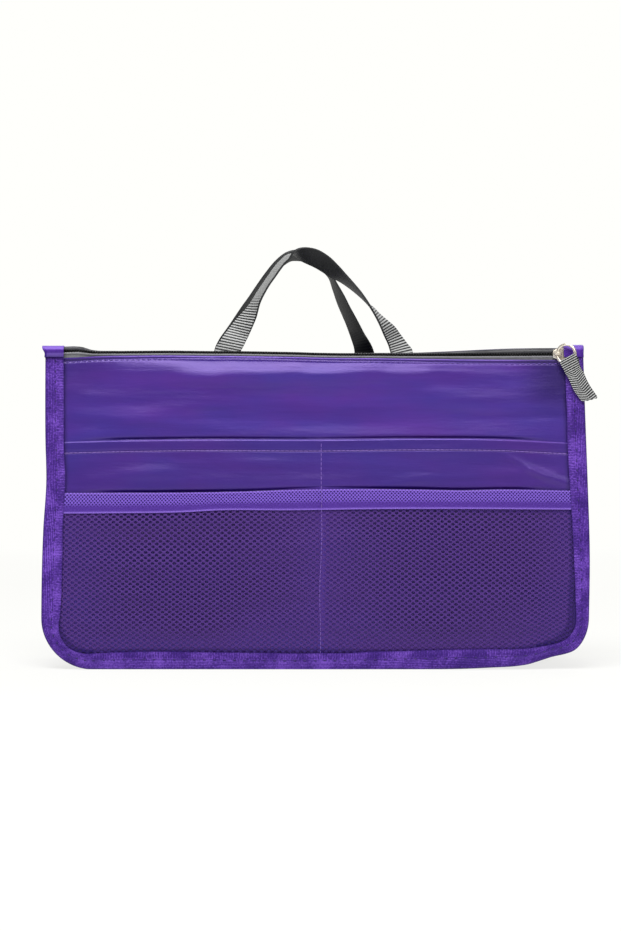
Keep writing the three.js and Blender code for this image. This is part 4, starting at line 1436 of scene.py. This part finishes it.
# The handles: one strap each, sewn inside the inner panel at both ends
handle = {
    "wide": 12.2,
    "thick": 1.0,
    "plane": 3.8,  # depth of the arch
    "zipTop": 168.0,  # below this it lies on the inner panel
    "off": 0.7,
    "plain": (188, 14),  # the ribs are drawn flat from this height on, towards the grip
    # its outer and its inner edge, x and z each, from one sewn end to the other
    "edges": {
        "front": [
            (-51.6, 150.0, -39.4, 150.0), (-51.6, 163.5, -39.4, 163.5), (-53.8, 170.0, -40.6, 167.6),
            (-51.2, 175.2, -38.5, 172.5), (-47.2, 180.6, -35.7, 178.0), (-43.5, 185.2, -33.4, 182.9),
            (-40.3, 188.8, -31.5, 187.4), (-37.3, 192.0, -30.5, 191.0), (-34.7, 195.3, -29.5, 194.6),
            (-32.3, 199.0, -28.0, 198.1), (-30.0, 202.7, -26.0, 201.8), (-27.5, 206.4, -24.0, 205.1),
            (-24.8, 210.3, -21.5, 208.6), (-22.1, 214.2, -18.6, 212.8), (-19.0, 217.9, -15.9, 216.2),
            (-15.2, 221.2, -13.4, 218.6), (-11.8, 221.8, -11.2, 222.2), (-8.2, 219.0, -8.6, 223.9),
            (-5.0, 217.3, -4.6, 224.5), (-0.6, 215.2, 1.1, 223.5), (3.8, 212.7, 7.3, 219.7),
            (8.1, 209.9, 12.5, 214.5), (13.4, 207.3, 16.4, 209.9), (18.6, 203.8, 20.8, 204.8),
            (23.4, 199.9, 24.3, 200.5), (28.4, 195.3, 28.2, 194.8), (31.1, 193.2, 29.9, 191.8),
            (35.1, 189.2, 32.8, 186.8), (39.7, 185.4, 35.1, 182.2), (43.2, 182.5, 36.8, 178.5),
            (46.7, 177.9, 38.9, 174.4), (49.6, 174.0, 40.2, 171.0), (52.6, 169.8, 41.0, 167.4),
            (51.6, 162.0, 39.4, 162.0), (51.6, 150.0, 39.4, 150.0),
        ],
        "rear": [
            (-33.3, 150.0, -21.1, 150.0), (-33.3, 163.5, -21.1, 163.5), (-32.6, 171.0, -22.4, 170.6),
            (-26.9, 181.2, -20.3, 179.0), (-22.1, 190.2, -17.3, 187.6), (-18.8, 196.2, -15.3, 192.4),
            (-15.8, 202.2, -12.8, 198.4), (-11.9, 208.8, -10.0, 206.8), (-9.2, 213.5, -7.9, 212.9),
            (-5.5, 219.0, -4.0, 217.2), (-1.0, 223.8, 0.0, 220.0), (4.0, 226.8, 4.2, 221.8),
            (11.5, 227.0, 10.5, 222.7), (16.1, 225.5, 13.8, 222.3), (21.6, 221.1, 18.9, 218.8),
            (27.0, 214.6, 24.1, 212.5), (32.3, 207.1, 29.4, 205.0), (36.3, 201.1, 33.2, 198.9),
            (39.8, 196.3, 36.4, 193.9), (45.8, 187.5, 41.6, 184.4), (52.5, 177.7, 46.0, 173.6),
            (55.7, 171.4, 46.0, 168.4), (55.4, 163.5, 43.2, 163.5), (55.4, 150.0, 43.2, 150.0),
        ],
    },
}


def edgeLines(points):  # close points of a smooth line through some points
    points = np.asarray(points, float)
    padded = np.vstack([2 * points[0] - points[1], points, 2 * points[-1] - points[-2]])
    close = []
    for i in range(1, len(padded) - 2):
        p = padded[i - 1 : i + 3]
        k = np.concatenate([[0], np.cumsum(np.sqrt(np.linalg.norm(np.diff(p, axis=0), axis=1)))])
        t = np.linspace(k[1], k[2], 40, endpoint=False)[:, None]
        a1, a2, a3 = [((k[j + 1] - t) * p[j] + (t - k[j]) * p[j + 1]) / (k[j + 1] - k[j]) for j in range(3)]
        b1 = ((k[2] - t) * a1 + (t - k[0]) * a2) / (k[2] - k[0])
        b2 = ((k[3] - t) * a2 + (t - k[1]) * a3) / (k[3] - k[1])
        close.append(((k[2] - t) * b1 + (t - k[1]) * b2) / (k[2] - k[1]))
    return np.vstack(close + [points[-1:]])


def softened(values, reach):  # a running mean
    padded = np.pad(values, reach, mode="edge")
    return np.convolve(padded, np.ones(2 * reach + 1) / (2 * reach + 1), "valid")


def makeHandle(place):
    edges = edgeLines(handle["edges"][place])
    outerX, outerZ, innerX, innerZ = edges.T
    # the strap turns edge on where it looks narrow from the front
    deep = np.sqrt(np.maximum(handle["wide"] ** 2 - np.hypot(innerX - outerX, innerZ - outerZ) ** 2, 0))
    deep = softened(deep, 20)
    x, z = 0.5 * (outerX + innerX), 0.5 * (outerZ + innerZ)
    leg = np.where(np.arange(len(x)) < len(x) / 2, x[0], x[-1])
    seat = innerDepth(place, leg, np.minimum(z, handle["zipTop"])) + handle["off"] + 0.5 * handle["thick"]
    clear = 0.5 * deep * smooth((184 - z) / 8)  # its edge stays behind the zip
    over = smooth((z - 174) / 40)
    y = softened((seat + clear) * (1 - over) + handle["plane"] * over, 10)
    steps = np.concatenate([[0], np.cumsum(np.linalg.norm(np.diff(np.stack([x, y, z]), axis=1), axis=0))])
    rows = 800
    piece, u, v = newGrid(f"{place}Handle", 14, rows)
    at = np.linspace(0, steps[-1], rows + 1)
    outerX, outerZ, innerX, innerZ, y, deep = [np.interp(at, steps, c) for c in (*edges.T, y, deep)]
    outer = np.stack([outerX, y + 0.5 * deep, outerZ], axis=-1)
    inner = np.stack([innerX, y - 0.5 * deep, innerZ], axis=-1)
    thick = np.cross(inner - outer, np.gradient(0.5 * (outer + inner), axis=0))
    thick = thick / np.linalg.norm(thick, axis=1)[:, None]
    row = np.rint(v * rows).astype(int)
    w = (u - 0.5) * handle["wide"]
    rib = -np.cos(2 * math.pi * at[row] / webbing["rib"])
    selvedge = smooth((0.5 * handle["wide"] - np.abs(w)) / 0.8)
    fromEnd = np.minimum(at, at[-1] - at)[row]
    lift = webbing["relief"] * rib * selvedge + 0.1 * softNoise(at[row], w, 12, 20, seeds["strap"])
    cup = 0.35 * (w / (0.5 * handle["wide"])) ** 2 * smooth((fromEnd - 20) / 6)  # its edges curl
    places = outer[row] + u[:, None] * (inner - outer)[row] + (lift + cup)[:, None] * thick[row]
    # these heights are the model's own and not up the pouch's face
    high = places[:, 2] - pouch["seat"][1] + places[:, 1] * math.sin(pouchLean)
    places[:, 2] = high / math.cos(pouchLean)
    setOnPouch(piece, place, places)
    setFlatMap(piece, w * mm, at[row] * mm)
    start, reach = handle["plain"]
    setValue(piece, "plain", smooth((places[:, 2] - start) / reach))
    piece.data.materials.append(looks["webbing"])
    piece.data.materials.append(looks["webbingBack"])
    addThickness(piece, handle["thick"], 0.0, backLook=1)
    shade(piece, 60)
    start, end = (tuple(worldFrom(place, 0.0, 5.0, height).tolist()) for height in (169.0, 180.0))
    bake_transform(piece)
    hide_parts(f"{place}_handle_loop", f"{place}_handle_end_left", f"{place}_handle_end_right")


# The strip that joins the pouches: the floor and the two folded sides
gusset = {"wide": 74.0, "seam": 10.6, "seamZ": 10.337, "drop": 7.0, "crest": 0.16, "cloth": 0.3}
bottomStrip = {"half": (117.2, 36.88), "forward": 0.12, "sag": 1.6}


def makeBottomStrip():
    piece, u, v = newGrid("bottomStrip", 140, 60)
    halfX, halfY = bottomStrip["half"]
    x, y = (2 * u - 1) * halfX, (2 * v - 1) * halfY - bottomStrip["forward"]  # room for the rear pouch's turn
    middle = 1 - (y / (gusset["wide"] / 2)) ** 2
    large, small = seeds["floor"]
    sag = -bottomStrip["sag"] * middle + 0.5 * middle * softNoise(x, y, 55, 16, large)
    sag = sag + 0.25 * middle * softNoise(x, y, 17, 9, small)
    setPlaces(piece, np.stack([x, y, gusset["seamZ"] + 0.15 + sag], axis=-1) * mm)
    setFlatMap(piece, x * mm, (y + 1600) * mm)
    addThickness(piece, gusset["cloth"])
    shade(piece)
    finishPiece(piece, "front_pouch", ["bottom_strip"], "nylon")


def makeGusset(side):
    name = "left" if side < 0 else "right"
    piece, u, v = newGrid(f"{name}Gusset", 90, 110)
    radius = pouch["corner"] - gusset["seam"]
    arc = radius * math.pi / 2
    centreZ = gusset["seamZ"] + radius
    rise = pouch["height"] - gusset["drop"] - centreZ
    at = v * (arc + rise)
    turn = np.clip(at / arc, 0, 1) * math.pi / 2
    outX, outZ = np.sin(turn), -np.cos(turn)
    x = pouch["halfWidth"] - pouch["corner"] + radius * outX
    z = centreZ + radius * outZ + np.maximum(at - arc, 0)
    share = 2 * u - 1
    closing = (z - gusset["seamZ"]) * math.tan(pouchLean)
    half = gusset["wide"] / 2 - closing
    fold = np.sqrt(np.maximum(gusset["wide"] * closing - closing**2, 0))
    peak = np.sqrt(share**2 + gusset["crest"] ** 2)  # the fold's crest is round
    peak = 1 - (peak - gusset["crest"]) / (math.hypot(1, gusset["crest"]) - gusset["crest"])
    large, small = [seed + side for seed in seeds["gusset"]]
    hills = 0.9 * softNoise(share * 30, at, 14, 21, large) + 0.5 * softNoise(share * 30, at, 7, 9, small)
    ripple = smooth((1 - np.abs(share)) / 0.25) * hills
    depth = fold * peak + ripple * smooth(at / 20)
    places = np.stack([side * (x - depth * outX), side * share * half, z - depth * outZ], axis=-1)
    setPlaces(piece, places * mm)
    setFlatMap(piece, share * (gusset["wide"] / 2) * mm, (at + 2000) * mm)
    addThickness(piece, gusset["cloth"])
    shade(piece)
    dress(piece, looks["nylon"])
    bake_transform(piece)
    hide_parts(f"{name}_gusset")


# Stitches, one small twist of thread repeated along each seam
seams = {  # its thread, the length and thickness of a stitch, and how far the thread stands out
    "Hem": ("violetThread", 2.0, 0.24, 0.1),
    "Pocket": ("lilacThread", 2.9, 0.26, 0.1),
    "Centre": ("lilacThread", 2.2, 0.2, 0.1),
    "Binding": ("purpleThread", 1.7, 0.42, 0.0),
}


def sewSeam(place, name, x, z, depth):  # on a face of the pouch
    thread, long, thick, proud = seams[name]
    points = settledFrom(place, x, depth - proud, z)
    out = np.array([0, -math.cos(pouchLean), math.sin(pouchLean)])
    out = out if place == "front" else np.array([0, -out[1], out[2]])
    clearSelection()
    bpy.ops.mesh.primitive_uv_sphere_add(segments=6, ring_count=5, radius=1)
    stitch = bpy.context.object
    stretch(stitch, (thick * mm, thick * mm, 0.5 * (long * mm)))
    ahead = np.gradient(points, axis=0)
    ahead = ahead / np.linalg.norm(ahead, axis=1)[:, None]
    frames = []
    for at, way in zip(points, ahead):
        side = np.cross(way, out)
        side = side / np.linalg.norm(side)
        frames.append((at, np.stack([side, np.cross(way, side), way], axis=-1)))
    piece = repeatMesh(f"{place}{name}Stitch", stitch, frames)
    discard(stitch)
    outwards(piece)
    dress(piece, looks[thread])
    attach(piece, f"{place}_pouch")
    return piece


def makeSeams(place):
    x = np.arange(-132, 132.5, 2.9)
    z = hemHeight(place, x) - hemSeam["below"]
    sewSeam(place, "Hem", x, z, faceDepth(place, x, z) + 0.1)
    x = np.arange(-133, 133.5, 2.5)
    z = slipEdge(x) - slipPocket["hem"]
    sewSeam(place, "Pocket", x, z, slipDepth(place, x, z) + 0.1)
    z = np.arange(9, slipPocket["height"] - 2, 2.5)
    x = slipPocket["seam"] + 0.35 * np.sin(z / 9)
    depth = slipDepth(place, x, z)
    if place == "front":
        low, top = bandEdges(x)
        depth = np.where(z < top, netDepth(x, np.minimum(z, meshPocket["top"])), depth)
        depth = np.where((z < top) & (z > low), depth - meshBand["thick"], depth)
    sewSeam(place, "Centre", x, z, depth)
    x, z, inX, inZ, at = edgePath(np.linspace(0.014, 0.986, 113))
    deep = edgeTape["grooveAt"] * (throughPoints(at, *edgeTape["lies"]) if place == "front" else 1)
    depth = layer["edgeFront"] + 0 * x
    sewSeam(place, "Binding", x + deep * inX, z + deep * inZ, depth)


# Camera, light and floor
view = {"x": -0.0024, "height": 0.108, "distance": 1.163, "lens": 85.0, "film": 36.0}
lamps = [  # name, place, size and power
    ("softboxTop", (-0.25, -0.8, 1.4), 1.0, 20.0),
    ("softboxFront", (0.35, -1.6, 1.5), 1.2, 14.0),
    ("softboxBack", (0.3, 1.2, 1.2), 1.2, 8.0),
]
stage = {
    "room": 0.24,
    "near": 0.3,  # the shadow on the floor fades out between these distances
    "far": 1.7,
    "shadow": 0.22,
    "white": (255, 255, 252),
    "floor": (250, 250, 248),
}


def makeCamera():
    camera = bpy.data.cameras.new("photoCamera")
    eye = bpy.data.objects.new("photoCamera", camera)
    bpy.context.collection.objects.link(eye)
    bpy.context.scene.camera = eye
    camera.lens = view["lens"]
    camera.sensor_fit, camera.sensor_height = "VERTICAL", view["film"]
    eye.location = (view["x"], cadBox[0][1] - view["distance"], view["height"])
    eye.rotation_euler = (math.pi / 2, 0, 0)


def makeLamps():
    for name, at, size, power in lamps:
        light = bpy.data.lights.new(name, "AREA")
        light.size, light.energy = size, power
        lamp = bpy.data.objects.new(name, light)
        bpy.context.collection.objects.link(lamp)
        lamp.location = at
        lamp.rotation_euler = (Vector((0, 0, 0.1)) - Vector(at)).to_track_quat("-Z", "Y").to_euler()


def mixShaders(look, share, first, second, output):  # first where the share is 0
    mix = node(look, "ShaderNodeMixShader")
    link(look, share, mix.inputs["Fac"])
    link(look, first, mix.inputs[1])
    link(look, second, mix.inputs[2])
    link(look, mix.outputs["Shader"], look.node_tree.nodes[output].inputs["Surface"])


def makeFloor():  # it shows the shadow beside the object and is plain white farther off
    clearSelection()
    bpy.ops.mesh.primitive_plane_add(size=8, location=(0, 0, 0))
    floor = bpy.context.object
    floor.name = "floor"
    look, shader = newLook("paleFloor", stage["floor"], 0.9)
    shader.inputs["Specular IOR Level"].default_value = 0.0
    path = node(look, "ShaderNodeLightPath")
    seen = maths(look, "MAXIMUM", path.outputs["Is Camera Ray"], path.outputs["Is Glossy Ray"])
    seen = maths(look, "MAXIMUM", seen, path.outputs["Is Transmission Ray"])
    white = node(look, "ShaderNodeEmission", {"Color": paint(*stage["white"]), "Strength": 1.0})
    reach = node(look, "ShaderNodeVectorMath", operation="LENGTH")
    link(look, objectMap(look), reach.inputs[0])
    fades = {"From Min": stage["near"], "From Max": stage["far"], "To Min": 1 - stage["shadow"]}
    fade = node(look, "ShaderNodeMapRange", fades)
    link(look, reach.outputs["Value"], fade.inputs["Value"])
    share = maths(look, "MULTIPLY", seen, fade.outputs["Result"])
    mixShaders(look, share, shader.outputs["BSDF"], white.outputs["Emission"], "Material Output")
    dress(floor, look)


def makeRoom():  # white where the camera sees it, and dimmer as a light
    world = bpy.data.worlds.new("studio")
    bpy.context.scene.world = world
    world.use_nodes = True
    room = world.node_tree.nodes["Background"]
    room.inputs["Color"].default_value = (1, 1, 1, 1)
    room.inputs["Strength"].default_value = stage["room"]
    back = node(world, "ShaderNodeBackground", {"Color": paint(*stage["white"])})
    path = node(world, "ShaderNodeLightPath")
    seen = maths(world, "MAXIMUM", path.outputs["Is Camera Ray"], path.outputs["Is Transmission Ray"])
    mixShaders(world, seen, room.outputs["Background"], back.outputs["Background"], "World Output")


makeCamera()
makeLamps()
makeFloor()
makeRoom()
bpy.context.scene.view_settings.view_transform = "Standard"
print("camera, light and floor ready")
for place in ("front", "rear"):
    makeOuterPanel(place)
    makeSlipPocket(place)
    makeInnerPanel(place)
    makeInnerPocket(place)
    makeBinding(place)
    print(place, "cloth and binding ready")
    makeZipTapes(place)
    makeCoils(place)
    makeSlider(place)
    makeRing(place)
    makeTab(place)
    print(place, "zip ready")
    makeHandle(place)
    makeSeams(place)
    print(place, "handle and seams ready")
makeMeshPocket()
makeMeshBand()
print("mesh pocket ready")
makeBottomStrip()
makeGusset(-1)
makeGusset(1)
print("gusset ready")
